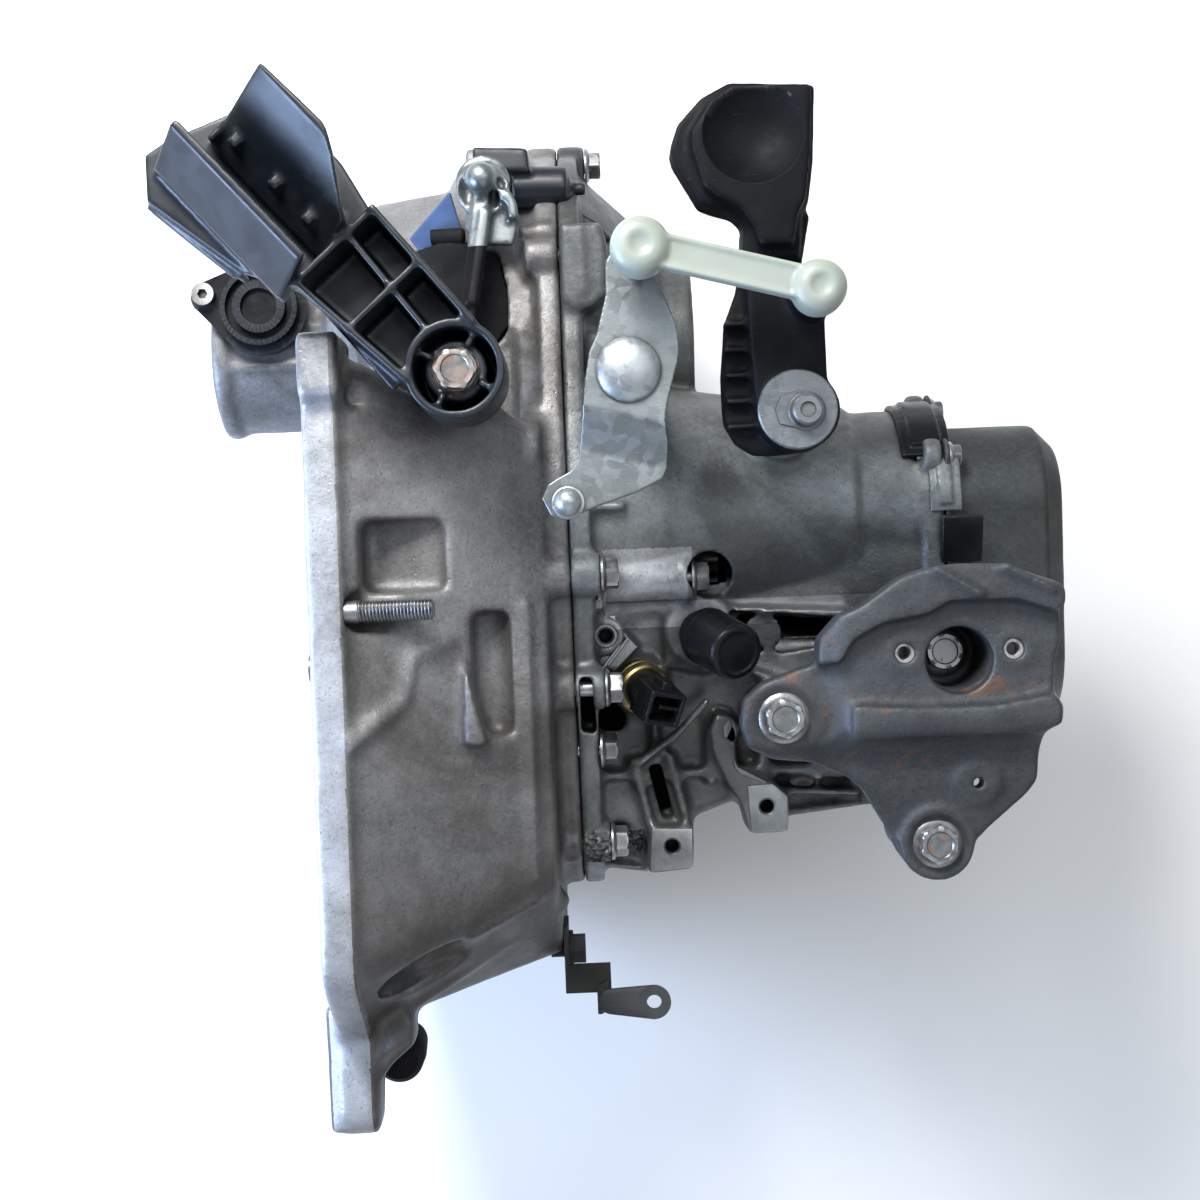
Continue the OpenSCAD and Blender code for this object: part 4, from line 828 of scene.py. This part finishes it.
def case_casting():
    bm = bmesh.new()
    from_nodes(bm, "gear_case")
    deck_details(bm)
    obj = mesh_of(bm, "case_casting")
    rugged(obj, 1.25, 1.1, 1)
    tool = bmesh.new()
    for x, y, z in ((128, 12, 50), (156, -91, 28), (202, -73, 34)):
        lathe(tool, [(0, 0), (3.6, 0), (3.6, 9), (5.4, 11), (5.4, 46), (0, 46)], at(x, y, z))
    # Slot of the fork, the gap beside the joint and the space behind the round boss
    rod(tool, (189, -36, 40), (189, -36, 80), 6)
    prism(tool, [(186, -30), (194, -30), (196, -40), (189, -42)], 40, 80)
    prism(tool, [(115, -6), (121, -7), (122, -34), (115, -33)], 44, 90)
    drum(tool, 11, 0, 40, at(178, 39, 58), 40)
    drum(tool, 9, 0, 40, at(203, 10, 42), 40)
    prism(tool, [(186, 22), (238, 17), (238, 4), (212, 0), (190, 8)], 46, 80)
    prism(tool, [(146, -52), (152, -51), (158, -78), (152, -79)], 26, 60)
    carve(obj, tool)
    rugged(obj, 1.2, 0, 1, ((0.6, 26), (0.25, 6)))
    # Broken surface of the front shelf
    for v in obj.data.vertices:
        x, y, z = v.co / MM
        if 114 < x < 143 and -98 < y < -83 and z > 12:
            v.co.z += random.uniform(-1.6, 2.2) * MM
    place_piece(obj, "housing", [CASE, CASE_BARE], ["gear_case"])
    for p in obj.data.polygons:
        x, y, z = p.center / MM
        if (128 < x < 170 and 28 < y < 52 and z > 62) or (128 < x < 262 and 15 < y < 27 and z > 50):
            p.material_index = 1
    milled_faces()


def cover_shell():
    bm = bmesh.new()
    from_nodes(bm, "end_cover")
    obj = mesh_of(bm, "cover_shell")
    rugged(obj, 1.3, 0, 5, ((0.5, 30),))
    place_piece(obj, "housing", COVER, ["end_cover"])


def blend_height(x, y):
    """Height of the mount bracket's skin: a flat channel, a slope to the low foot, a lower left arm."""
    def ease(t):
        t = max(0.0, min(1.0, t))
        return t * t * (3 - 2 * t)

    drop = 12 * ease((-30 - y) / 22) + 4 * ease((-58 - y) / 24)
    left = 5 * ease((236 - x) / 16)
    return 118 - max(drop, left if y > -58 else drop)


def mount_casting():
    bm = bmesh.new()
    skin = [(230, -2), (237, 8), (250, 15), (270, 18), (280, 23.5), (309, 23), (326, 17), (330, 16),
            (330, 4), (327, -6), (326, -20), (330, -26), (329, -34), (322, -37), (320, -60), (315, -66),
            (288, -90), (278, -97), (268, -99), (261, -95), (252, -80), (240, -60), (234, -55), (219, -48),
            (201, -46), (189.5, -40), (186, -29), (188, -18), (197, -10.5), (214, -5)]
    prism(bm, skin, -11, 0)
    rear = [(231, 18), (241, 22), (257, 33), (268, 37), (285, 39), (303, 38), (328, 29), (331, 26),
            (331, 19), (326, 16), (309, 22), (280, 22.5), (270, 17), (250.5, 14), (237, 7), (231, -3),
            (221, -4), (222, 8)]
    prism(bm, rear, -12, 9)
    ridge = [(234, -22), (262, -24), (300, -24), (326, -20), (330, -26), (329, -34), (321, -38), (234, -38)]
    prism(bm, ridge, -11, 5, taper=0.97)
    for start, end in (((272.5, 37.5, 8), (294, 24.5, 8)), ((302.8, 37.5, 8), (325.5, 25.5, 8))):
        bar(bm, start, end, 4, 4.5)
    # Pads under the bolt heads and a round spot
    tube(bm, [(13.5, -2), (17.5, -2), (17.5, 1.6), (13.5, 1.6)], at(*LOW_BOLT, 0), 56)
    drum(bm, 18.5, -12, 0, at(*LOW_BOLT, 0), 56)
    tube(bm, [(13, -2), (17, -2), (17, 2.5), (13, 2.5)], at(*FOOT_BOLT, 0), 56)
    lathe(bm, [(0, -4), (10.4, -4), (10.4, 1.2), (9.6, 1.8), (0, 1.8)], at(293, -60, 0), 48)
    # Bosses of the two holes
    for x in MOUNT_HOLES:
        drum(bm, 8.5, -14, 0.8, at(x, 0, 0), 40)
    obj = mesh_of(bm, "mount_casting")
    rugged(obj, 1.2, 1.6, 1)
    lift(obj, blend_height)
    tool = bmesh.new()
    drum(tool, 15, 0, 60, at(284.5, -4, 79))
    for x in MOUNT_HOLES:
        rod(tool, (x, 0, 90), (x, 0, 140), 4.5)
    rod(tool, (293, -60, 80), (293, -60, 130), 2.4)
    for x, y in (LOW_BOLT, FOOT_BOLT):
        rod(tool, (x, y, 60), (x, y, 140), 5.4)
    carve(obj, tool)
    # Walls of the well and pillars down to the case
    bm = bmesh.new()
    bm.from_mesh(obj.data)
    tube(bm, [(5.2, 66.2), (17, 66.2), (20, 78), (20, 112), (15, 112), (15, 77), (5.2, 77)], at(284, -2, 0),
         56)
    tube(bm, [(5.2, 70.2), (15, 70.2), (16.5, 108), (5.2, 108)], at(*LOW_BOLT, 0), 48)
    tube(bm, [(5.2, 62.2), (15, 62.2), (16.5, 97), (5.2, 97)], at(*FOOT_BOLT, 0), 48)
    bar(bm, (228, -27, 92), (316, -27, 92), 8, 20, 1.0)
    bar(bm, (267, -84, 82), (267, -8, 92), 9, 16, 1.0)
    old = obj.data
    obj.data = bpy.data.meshes.new("mount_casting")
    bm.to_mesh(obj.data)
    bm.free()
    bpy.data.meshes.remove(old)
    rugged(obj, 1.15, 0, 2, ((0.6, 24), (0.2, 6)))
    place_piece(obj, "housing", MOUNT, ["mount_bracket"])
    # Threads that show in the two holes
    bm = bmesh.new()
    for x in MOUNT_HOLES:
        tube(bm, [(3.2, 104), (4.6, 104), (4.6, 116), (3.2, 116)], at(x, 0, 0), 32)
        for k in range(6):
            tube(bm, [(2.9, 105 + 1.9 * k), (3.5, 104.6 + 1.9 * k), (3.5, 106 + 1.9 * k),
                      (2.9, 105.5 + 1.9 * k)], at(x, 0, 0), 32)
    obj = finish_mesh("mount_hole_threads", bm)
    place_piece(obj, "housing", RUSTY)


bell_casting()
case_casting()
cover_shell()
mount_casting()


# ---------------------------------------------------------------- fasteners


def hex_head(bm, place, af, height, flange_r, turn=0.0):
    """Flanged hexagon head with rounded corners on top and a shallow dish."""
    lathe(bm, [(0, 0), (flange_r, 0), (flange_r, 0.9), (flange_r * 0.93, 1.7), (af * 0.56, 2.4), (0, 2.4)],
          place, 48)
    corner = af / 2 / math.cos(math.pi / 6)
    sides = 60
    rings = []
    for z, cap in ((1.5, 1.0), (height - 1.3, 1.0), (height - 0.55, 0.965), (height, 0.86), (height, 0.66),
                   (height - 0.5, 0.60), (height - 0.5, 0.0)):
        if cap == 0.0:
            rings.append([bm.verts.new(place @ Vector((0, 0, z)) * MM)])
            continue
        ring = []
        for k in range(sides):
            a = 2 * math.pi * k / sides + turn
            local = (a - turn) % (math.pi / 3) - math.pi / 6
            hexagon = af / 2 / math.cos(local)
            r = min(hexagon, corner * cap)
            ring.append(bm.verts.new(place @ Vector((r * math.cos(a), r * math.sin(a), z)) * MM))
        rings.append(ring)
    bm.faces.new(rings[0][::-1])
    bridge(bm, rings)


def thread(bm, place, radius, pitch, low, high, steps=28):
    """Threaded stretch: a helical ridge closed by caps."""
    depth = pitch * 0.55
    per = 4
    count = int((high - low) / pitch * per)
    rings = []
    for i in range(count + 1):
        ring = []
        for k in range(steps):
            a = 2 * math.pi * k / steps
            z = low + i * pitch / per
            phase = (z / pitch - k / steps) % 1.0
            r = radius - depth * abs(2 * phase - 1)
            ring.append(bm.verts.new(place @ Vector((r * math.cos(a), r * math.sin(a), z)) * MM))
        rings.append(ring)
    tip = circle(bm, place, steps, radius - depth - 0.9, low + count * pitch / per + 0.9)
    bm.faces.new(rings[0][::-1])
    bridge(bm, rings + [tip])
    bm.faces.new(tip)


def bolt_set(name, node, axis, af, height, flange_r, shank_r, shank_l, material, extra=()):
    """Detailed bolts in place of a node of plain ones. The heads point along axis."""
    bm = bmesh.new()
    axis = Vector(axis)
    seats = []
    for points in islands(node):
        top = max(p.dot(axis) for p in points)
        middle = Vector([(min(p[i] for p in points) + max(p[i] for p in points)) / 2 for i in range(3)])
        seats.append(middle + axis * (top - height - middle.dot(axis)))
    for seat in seats + [Vector(p) for p in extra]:
        hex_head(bm, aim(seat, axis), af, height, flange_r, random.uniform(0, math.pi / 3))
        rod(bm, seat - axis * shank_l, seat + axis * 0.5, shank_r)
    obj = finish_mesh(name, bm, angle=32)
    place_piece(obj, "housing", material, [node])


bolt_set("case_bolt_set", "case_bolts", (1, 0, 0), 13, 8, 9, 3.9, 17, BOLT,
         [(123.5, -42, 55), (169.5, 38, 66)])
bolt_set("cover_bolt_set", "cover_bolts", (1, 0, 0), 10, 6, 7, 2.9, 15, BOLT)
bolt_set("mount_bolt_set", "mount_bolts", (0, 0, 1), 16, 9, 12, 4.9, 30, BOLT)
bolt_set("bracket_bolt", "cable_bracket_bolt", (0, 0, 1), 16, 8, 10, 4.9, 62, RUSTY)


def stud():
    bm = bmesh.new()
    place = aim((9, STUD_C[0], STUD_C[1]), (1, 0, 0))
    lathe(bm, [(0, 0), (4.9, 0), (4.9, 12), (4.3, 13), (0, 13)], place)
    thread(bm, place, 4.95, 1.5, 12.4, 44.6)
    obj = finish_mesh("starter_stud_thread", bm, angle=28)
    place_piece(obj, "housing", BOLT, ["starter_stud"])


stud()


# ---------------------------------------------------------------- plastic pieces


def cable_bracket():
    bm = bmesh.new()
    from_nodes(bm, "cable_bracket")
    place = at(BRACKET_C.x, BRACKET_C.y, 0, math.degrees(BRACKET_TURN))
    # Steps and clips in the trough, ridges on the front wall
    for x in (84, 104, 128):
        prism(bm, [(x - 4, -10), (x + 7, -10), (x + 7, 6), (x - 4, 6)], 156, 166, place)
    for x in (80, 92, 118, 138):
        prism(bm, [(x, 14), (x + 2, 14), (x + 2, 33), (x, 33)], 150, 168, place, taper=0.8)
    for y in (37, 40):
        bar(bm, place @ Vector((96, y, 148)), place @ Vector((140, y + 6, 148)), 2, 5)
    obj = mesh_of(bm, "cable_bracket_moulding")
    rugged(obj, 0.8, 0.8, 2, ((0.35, 30),))
    place_piece(obj, "housing", BRACKET, ["cable_bracket"])


def pressed(name, bm, voxel, closing, rounds, body, material, replaces=(), waves=()):
    """A rounded one-piece part from overlapping solids."""
    obj = mesh_of(bm, name)
    rugged(obj, voxel, closing, rounds, waves)
    return place_piece(obj, body, material, replaces)


def switch():
    axis = Vector((10.5, -10.3, 28)).normalized()
    place = aim((SWITCH_C[0], SWITCH_C[1], 54), axis, 0.5)
    bm = bmesh.new()
    lathe(bm, [(0, -8), (12.6, -8), (12.6, 1.6), (12, 2.2), (11.3, 2.2), (11.3, 3.6), (12.4, 4), (12.4, 7.2),
               (11.4, 8.2), (0, 8.2)], place, 80)
    obj = finish_mesh("switch_body", bm)
    place_piece(obj, "housing", BRASS, ["reversing_switch"])
    bm = bmesh.new()
    lathe(bm, [(0, 6), (10.2, 6), (10.2, 19), (9.4, 20), (0, 20)], place, 72)
    for x0, x1, y0, y1, high in ((-8, 8, -9, -7, 34), (-8, 8, 7, 9, 34), (-8, -6, -9, 9, 34),
                                 (6, 8, -9, 9, 34), (-8, 8, -9, 9, 22), (-1, 1, -9, 2, 31)):
        prism(bm, [(x0, y0), (x1, y0), (x1, y1), (x0, y1)], 15, high, place)
    bar(bm, place @ Vector((8, 0, 20)), place @ Vector((12, 0, 20)), 7, 10, 0.8, axis)
    pressed("switch_connector", bm, 0.55, 0, 2, "housing", SMOOTH_BLACK)


def breather():
    axis = Vector((0.40, -0.25, 0.88)).normalized()
    place = aim((174, 11, 66), axis)
    bm = bmesh.new()
    lathe(bm, [(0, -4), (11, -4), (11, 2), (13.8, 3), (13.8, 7), (13.2, 7.6), (13.2, 9), (13.7, 9.6),
               (13.2, 32), (12.2, 34), (9.8, 34.6), (9.6, 33.8), (0, 34.4)], place, 96)
    for k in range(5):
        bar(bm, place @ Vector((13.2 * math.cos(k * 1.257), 13.2 * math.sin(k * 1.257), 9)),
            place @ Vector((12.9 * math.cos(k * 1.257), 12.9 * math.sin(k * 1.257), 30)), 1.6, 0.5, 0.6,
            place.to_3x3() @ Vector((math.cos(k * 1.257), math.sin(k * 1.257), 0)))
    pressed("breather_cap_moulding", bm, 0.6, 0, 1, "housing", SMOOTH_BLACK,
            ["breather_cap"])


def neck_clips():
    """Black band pieces and a metal tongue where the end cover meets the case."""
    def band(bm, a0, a1, radius, x0, x1, thick):
        steps = 14
        inner, outer = [], []
        for k in range(steps + 1):
            a = math.radians(a0 + (a1 - a0) * k / steps)
            outer.append((OUT[0] + (radius + thick) * math.cos(a), OUT[1] + (radius + thick) * math.sin(a)))
            inner.append((OUT[0] + radius * math.cos(a), OUT[1] + radius * math.sin(a)))
        turn = Matrix(((0, 0, 1, 0), (1, 0, 0, 0), (0, 1, 0, 0), (0, 0, 0, 1)))
        prism(bm, outer + inner[::-1], x0, x1, turn)

    bm = bmesh.new()
    band(bm, -8, 64, 46.5, 272, 296, 3.4)
    band(bm, 4, 58, 49.4, 277, 291, 2.2)
    band(bm, 98, 124, 50.5, 288.5, 308, 3.2)
    obj = finish_mesh("neck_band", bm, angle=40)
    rugged(obj, 0.9, 0, 2)
    place_piece(obj, "housing", SMOOTH_BLACK)
    bm = bmesh.new()
    band(bm, 62, 96, 46.3, 284, 299, 3.0)
    band(bm, 66, 92, 48.6, 288, 294, 1.8)
    obj = finish_mesh("neck_tongue", bm, angle=40)
    rugged(obj, 0.8, 0, 2)
    place_piece(obj, "housing", CASE)


def small_plugs():
    bm = bmesh.new()
    lathe(bm, [(0, 30), (10, 30), (11.4, 50), (11.4, 66), (9, 70), (0, 71)], at(23, -183, 0))
    lathe(bm, [(0, -9), (3.6, -9), (3.6, 6), (2.6, 7), (0, 7)], aim((62, 204, 62), (1, 0, 0.1)), 32)
    obj = finish_mesh("rubber_plugs", bm)
    place_piece(obj, "housing", RUBBER)


def slave_block():
    """Black holder behind the release lever, with its round body and stud."""
    bm = bmesh.new()
    prism(bm, [(74, 246), (100, 244.5), (101, 233), (85, 233.5), (74, 235)], 18, 62)
    rod(bm, (92, 229, 48), (118, 228, 48), 10)
    prism(bm, [(94, 236), (116, 236), (120, 231), (119, 219), (97, 219)], 18, 52)
    rod(bm, (117, 227, 48), (120, 227, 48), 7)
    rod(bm, (119, 227, 48), (127, 227, 48), 3.2)
    prism(bm, [(97, 220), (119, 220), (132, 212), (139, 203), (118, 202), (97, 207)], 16, 44)
    pressed("slave_holder", bm, 0.9, 0.8, 2, "housing", BRACKET)
    # Smooth sloping plate beside it; its blue colour is a painted blue reflection
    bm = bmesh.new()
    prism(bm, [(42, 205), (50, 194), (69, 201), (63, 225)], -2, 2)
    obj = mesh_of(bm, "slave_plate")
    rugged(obj, 0.8, 0, 2)
    lift(obj, lambda x, y: 54 + 0.35 * (y - 205) + 0.1 * (x - 42))
    place_piece(obj, "housing", PAINTED_BLUE_SHEEN)


cable_bracket()
switch()
breather()
neck_clips()
small_plugs()
slave_block()

# ---------------------------------------------------------------- linkage


def bellcrank():
    sheet = [(134, 172), (133.5, 158), (129, 141), (125.5, 134), (123, 120.5), (122.3, 113), (121, 101),
             (119.4, 90.5), (116, 85), (106, 79.5), (103, 73.5), (106.5, 66), (112, 64), (126, 69),
             (143.7, 74.5), (155, 80), (157, 84), (157.5, 95), (156.6, 104), (158, 112), (163, 129),
             (163.8, 136), (162.8, 145), (159, 155.5), (155, 165), (157, 175), (152, 183), (142, 184)]
    bm = bmesh.new()
    prism(bm, sheet, -2, 2)
    obj = mesh_of(bm, "bellcrank_plate")
    rugged(obj, 0.65, 0, 2, ((0.3, 18),))

    def bend(x, y):
        s = (-0.266 * (x - 123.4) - 0.964 * (y - 112.7)) / 19.8
        s = max(0.0, min(1.0, s))
        return 154.5 - 9 * s * s * (3 - 2 * s)

    lift(obj, bend)
    place_piece(obj, "bellcrank", ZINC, ["bellcrank"])
    bm = bmesh.new()
    tube(bm, [(6.2, 131), (12, 131), (12, 153), (6.2, 153)], at(*CRANK_C, 0), 64)
    # Ball of the select cable and the stud under the link
    drum(bm, 5.5, 137, 142, at(*CABLE_BALL, 0), 48)
    lathe(bm, [(0, 147), (7, 147), (7, 149.4), (5, 150), (3.6, 150.6), (3.6, 152), (0, 152)],
          at(*CABLE_BALL, 0), 48)
    lathe(bm, ball_arc(6, 157), at(*CABLE_BALL, 0), 48)
    drum(bm, 3.95, 150, 178, at(*BALL_1, 0), 40)
    drum(bm, 7, 156, 162, at(*BALL_1, 0), 40)
    lathe(bm, ball_arc(7, LINK_Z), at(*BALL_1, 0), 40)
    obj = finish_mesh("bellcrank_pins", bm)
    place_piece(obj, "bellcrank", HUB)


def crank_pivot():
    """Pin of the bellcrank with its domed head."""
    bm = bmesh.new()
    lathe(bm, [(0, 98), (5.95, 98), (5.95, 122.2), (13, 122.2), (13, 130), (6, 130), (6, 157), (13.9, 157),
               (13.9, 157.7), (12.8, 158.9), (9.5, 160.6), (5, 161.7), (0, 162)], at(*CRANK_C, 0), 96)
    obj = finish_mesh("bellcrank_pin_head", bm, angle=50)
    place_piece(obj, "housing", HUB, ["bellcrank_pivot"])


def link_rod():
    a, b = Vector((*BALL_1, 0)), Vector((*BALL_2, 0))
    run = (b - a).normalized()
    side = Vector((-run.y, run.x, 0))
    bm = bmesh.new()
    for centre, r in ((a, 12.3), (b, 11.3)):
        profile = [(0, 175), (r - 1.5, 175), (r, 177), (r, 188), (r - 1, 191), (r - 3.4, 193),
                   (r - 6, 193.8), (4.6, 193.5), (3, 192.6), (0, 192.3)]
        lathe(bm, profile, at(centre.x, centre.y, 0), 72)
    corners = [a + side * 6.6, b + side * 6.6, b - side * 6.6, a - side * 6.6]
    prism(bm, [(c.x, c.y) for c in corners], 179.5, 189.5)
    for s in (-1, 1):
        edge = side * s * 6.2
        bar(bm, a + run * 10 + edge + Vector((0, 0, 188)), b - run * 9 + edge + Vector((0, 0, 188)), 2.2,
            2.6, 0.5)
    obj = mesh_of(bm, "link_rod_moulding")
    rugged(obj, 0.7, 0.9, 2)
    tool = bmesh.new()
    for centre in (a, b):
        lathe(tool, ball_arc(7.1, LINK_Z, 12), at(centre.x, centre.y, 0), 40)
        rod(tool, (centre.x, centre.y, 160), (centre.x, centre.y, LINK_Z), 6.6)
    carve(obj, tool)
    shade_smooth(obj.data)
    obj.data.set_sharp_from_angle(angle=math.radians(50))
    place_piece(obj, "link_rod", MILKY, ["link_rod"])


def shift_lever():
    bm = bmesh.new()
    prism(bm, [(203, 88.5), (195, 89), (187.5, 94), (182.5, 103), (182, 123), (184.5, 146), (190, 160),
               (192, 172), (217, 171), (227, 144), (227.5, 118), (227, 96), (220, 90)], 130, 141, taper=0.99)
    prism(bm, [(205, 90.5), (199, 96), (196, 107.5), (194.5, 133), (194, 158), (192, 171.5), (193, 186),
               (222, 190), (217.5, 168), (226.5, 144), (226.8, 118), (226, 96), (219, 90)], 130, 152)
    prism(bm, [(192, 171), (193.2, 186), (188.5, 190.7), (181, 193), (175, 195.5), (164.3, 214.4),
               (163.2, 219), (166.7, 229), (177, 239.7), (189.5, 246), (223.8, 244), (225.6, 243),
               (223.7, 212), (221, 193.5), (217.8, 188.7), (216.3, 171)], 136, 156)
    prism(bm, [(199, 175), (196.8, 182.4), (191, 191), (181.3, 196), (176.6, 200.4), (172.3, 216.5),
               (172.6, 224), (180, 235), (190, 242), (223, 241.5), (221.5, 212), (219, 194), (215.5, 188),
               (213, 175)], 136, 166)
    for y in (101, 112, 123, 134, 145):
        bar(bm, (183.5, y, 139), (196, y, 139), 2.6, 8, 0.8)
    drum(bm, 17, 128.5, 153.5, at(*SELECTOR_C, 0), 64)
    lathe(bm, [(0, 148), (9.5, 148), (9, 171), (0, 171)], at(*BALL_2, 0), 48)
    obj = mesh_of(bm, "shift_lever_arm")
    rugged(obj, 0.95, 1.6, 3, ((0.5, 22),))
    tool = bmesh.new()
    lathe(tool, ball_arc(30, 0, 24), at(198, 222, 187), 96)
    rod(tool, (*SELECTOR_C, 120), (*SELECTOR_C, 152), 7.05)
    carve(obj, tool)
    shade_smooth(obj.data)
    place_piece(obj, "shift_arm", LEVER, ["shift_lever"])
    bm = bmesh.new()
    lathe(bm, [(0, 153.6), (16.6, 153.6), (17, 154.2), (17, 156.4), (16.4, 157), (0, 157)],
          at(213, 106.4, 0), 96)
    prism(bm, [(205, 100.5), (212.5, 98.5), (212.5, 113.5), (206, 112), (203.4, 106.5)], 156.6, 157.9)
    lathe(bm, [(0, 156), (6.4, 156), (6.4, 163.6), (5.6, 164.4), (3.4, 164.4), (3.0, 163.2), (0, 163.2)],
          at(*LEVER_NUT, 0), 64)
    lathe(bm, [(0, 156), (8.2, 156), (8.2, 157.6), (7.4, 158.2), (0, 158.2)], at(*LEVER_NUT, 0), 64)
    drum(bm, 3.85, 141, 177, at(*BALL_2, 0), 40)
    lathe(bm, ball_arc(7, LINK_Z), at(*BALL_2, 0), 40)
    obj = finish_mesh("shift_lever_metal", bm)
    place_piece(obj, "shift_arm", WASHER)


def release_lever():
    bm = bmesh.new()
    from_nodes(bm, "release_fork")
    # Formed outer end: dish for the cable's ball, folded clip and a stiffening rib
    tube(bm, [(6, 72), (12, 74), (12.6, 79), (11.4, 79.6), (9.5, 77), (5.6, 75.6)], at(79, 222, 0), 64)
    prism(bm, [(70, 205), (75, 197), (92, 196), (96, 209), (90, 216), (72, 214)], 72, 77)
    bar(bm, (72, 168, 80), (80, 212, 79), 8, 3.5, 0.5)
    prism(bm, [(87, 221), (92, 220), (95, 214), (95, 207), (91, 207), (90.5, 214), (87, 216)], 73, 84)
    lathe(bm, [(0, 68), (5.2, 68), (4.4, 80), (3.2, 82), (0, 82)], at(79, 226, 0), 40)
    obj = pressed("release_fork_pressing", bm, 0.85, 1.2, 2, "release_fork", [ZINC, DARK_STEEL],
                  ["release_fork"])
    for p in obj.data.polygons:
        if p.center.y < 195 * MM:
            p.material_index = 1


bellcrank()
crank_pivot()
link_rod()
shift_lever()
release_lever()
paint(HANGER, "hanger_bracket")
paint(SMOOTH_BLACK, "sensor_plug")
paint(STEEL, "sensor_plug_screw", "fill_plug")


# ---------------------------------------------------------------- floor, light, camera (in metres)


def studio():
    low = cad_low.z - 0.002
    bm = bmesh.new()
    half = 4.0
    square = ((-1, -1), (1, -1), (1, 1), (-1, 1))
    bm.faces.new([bm.verts.new((x * half + 0.12, y * half + 0.03, low)) for x, y in square])
    floor = finish_mesh("floor", bm, smooth=False)
    s = Shader("floor_paint")
    tone = s.patches(2.0, 3, 0.55, 0.3, 0.7)
    floor.data.materials.append(s.finish(s.blend(tone, (0.86, 0.86, 0.86), (0.90, 0.90, 0.90)), 0.7))

    world = bpy.data.worlds.new("studio")
    bpy.context.scene.world = world
    world.use_nodes = True
    world.node_tree.nodes["Background"].inputs["Color"].default_value = (0.93, 0.96, 1.0, 1)
    world.node_tree.nodes["Background"].inputs["Strength"].default_value = 0.38

    def lamp(name, place, target, size, power, colour):
        data = bpy.data.lights.new(name, "AREA")
        data.shape = "RECTANGLE"
        data.size, data.size_y = size
        data.energy = power
        data.color = colour
        obj = bpy.data.objects.new(name, data)
        bpy.context.scene.collection.objects.link(obj)
        obj.location = place
        obj.rotation_euler = (Vector(target) - Vector(place)).to_track_quat("-Z", "Y").to_euler()
        obj.visible_camera = False

    centre = (0.13, 0.04, 0.05)
    lamp("key", (-0.12, 0.70, 0.72), (0.14, 0.05, 0.05), (0.35, 0.35), 14, (1.0, 0.99, 0.97))
    lamp("sky", (0.6, 0.5, 1.4), centre, (1.2, 0.9), 7, (0.88, 0.94, 1.0))
    lamp("blue", (-0.44, -0.08, 0.30), (0.02, 0.20, 0.12), (0.35, 0.25), 5.5, (0.42, 0.62, 1.0))
    lamp("left", (-0.9, -0.1, 0.5), (0.0, -0.02, 0.05), (0.6, 0.6), 4, (0.86, 0.92, 1.0))
    lamp("front", (0.4, -1.0, 0.9), centre, (1.0, 0.6), 2, (0.95, 0.97, 1.0))


def camera():
    data = bpy.data.cameras.new("camera")
    data.lens = 56.25
    data.sensor_width = 36
    data.clip_start = 0.05
    data.clip_end = 20
    obj = bpy.data.objects.new("camera", data)
    bpy.context.scene.collection.objects.link(obj)
    obj.location = (0.126, 0.029, 0.950)
    obj.rotation_euler = (0, 0, math.radians(-2.3))
    bpy.context.scene.camera = obj


studio()
camera()
bpy.context.scene.view_settings.view_transform = "Standard"
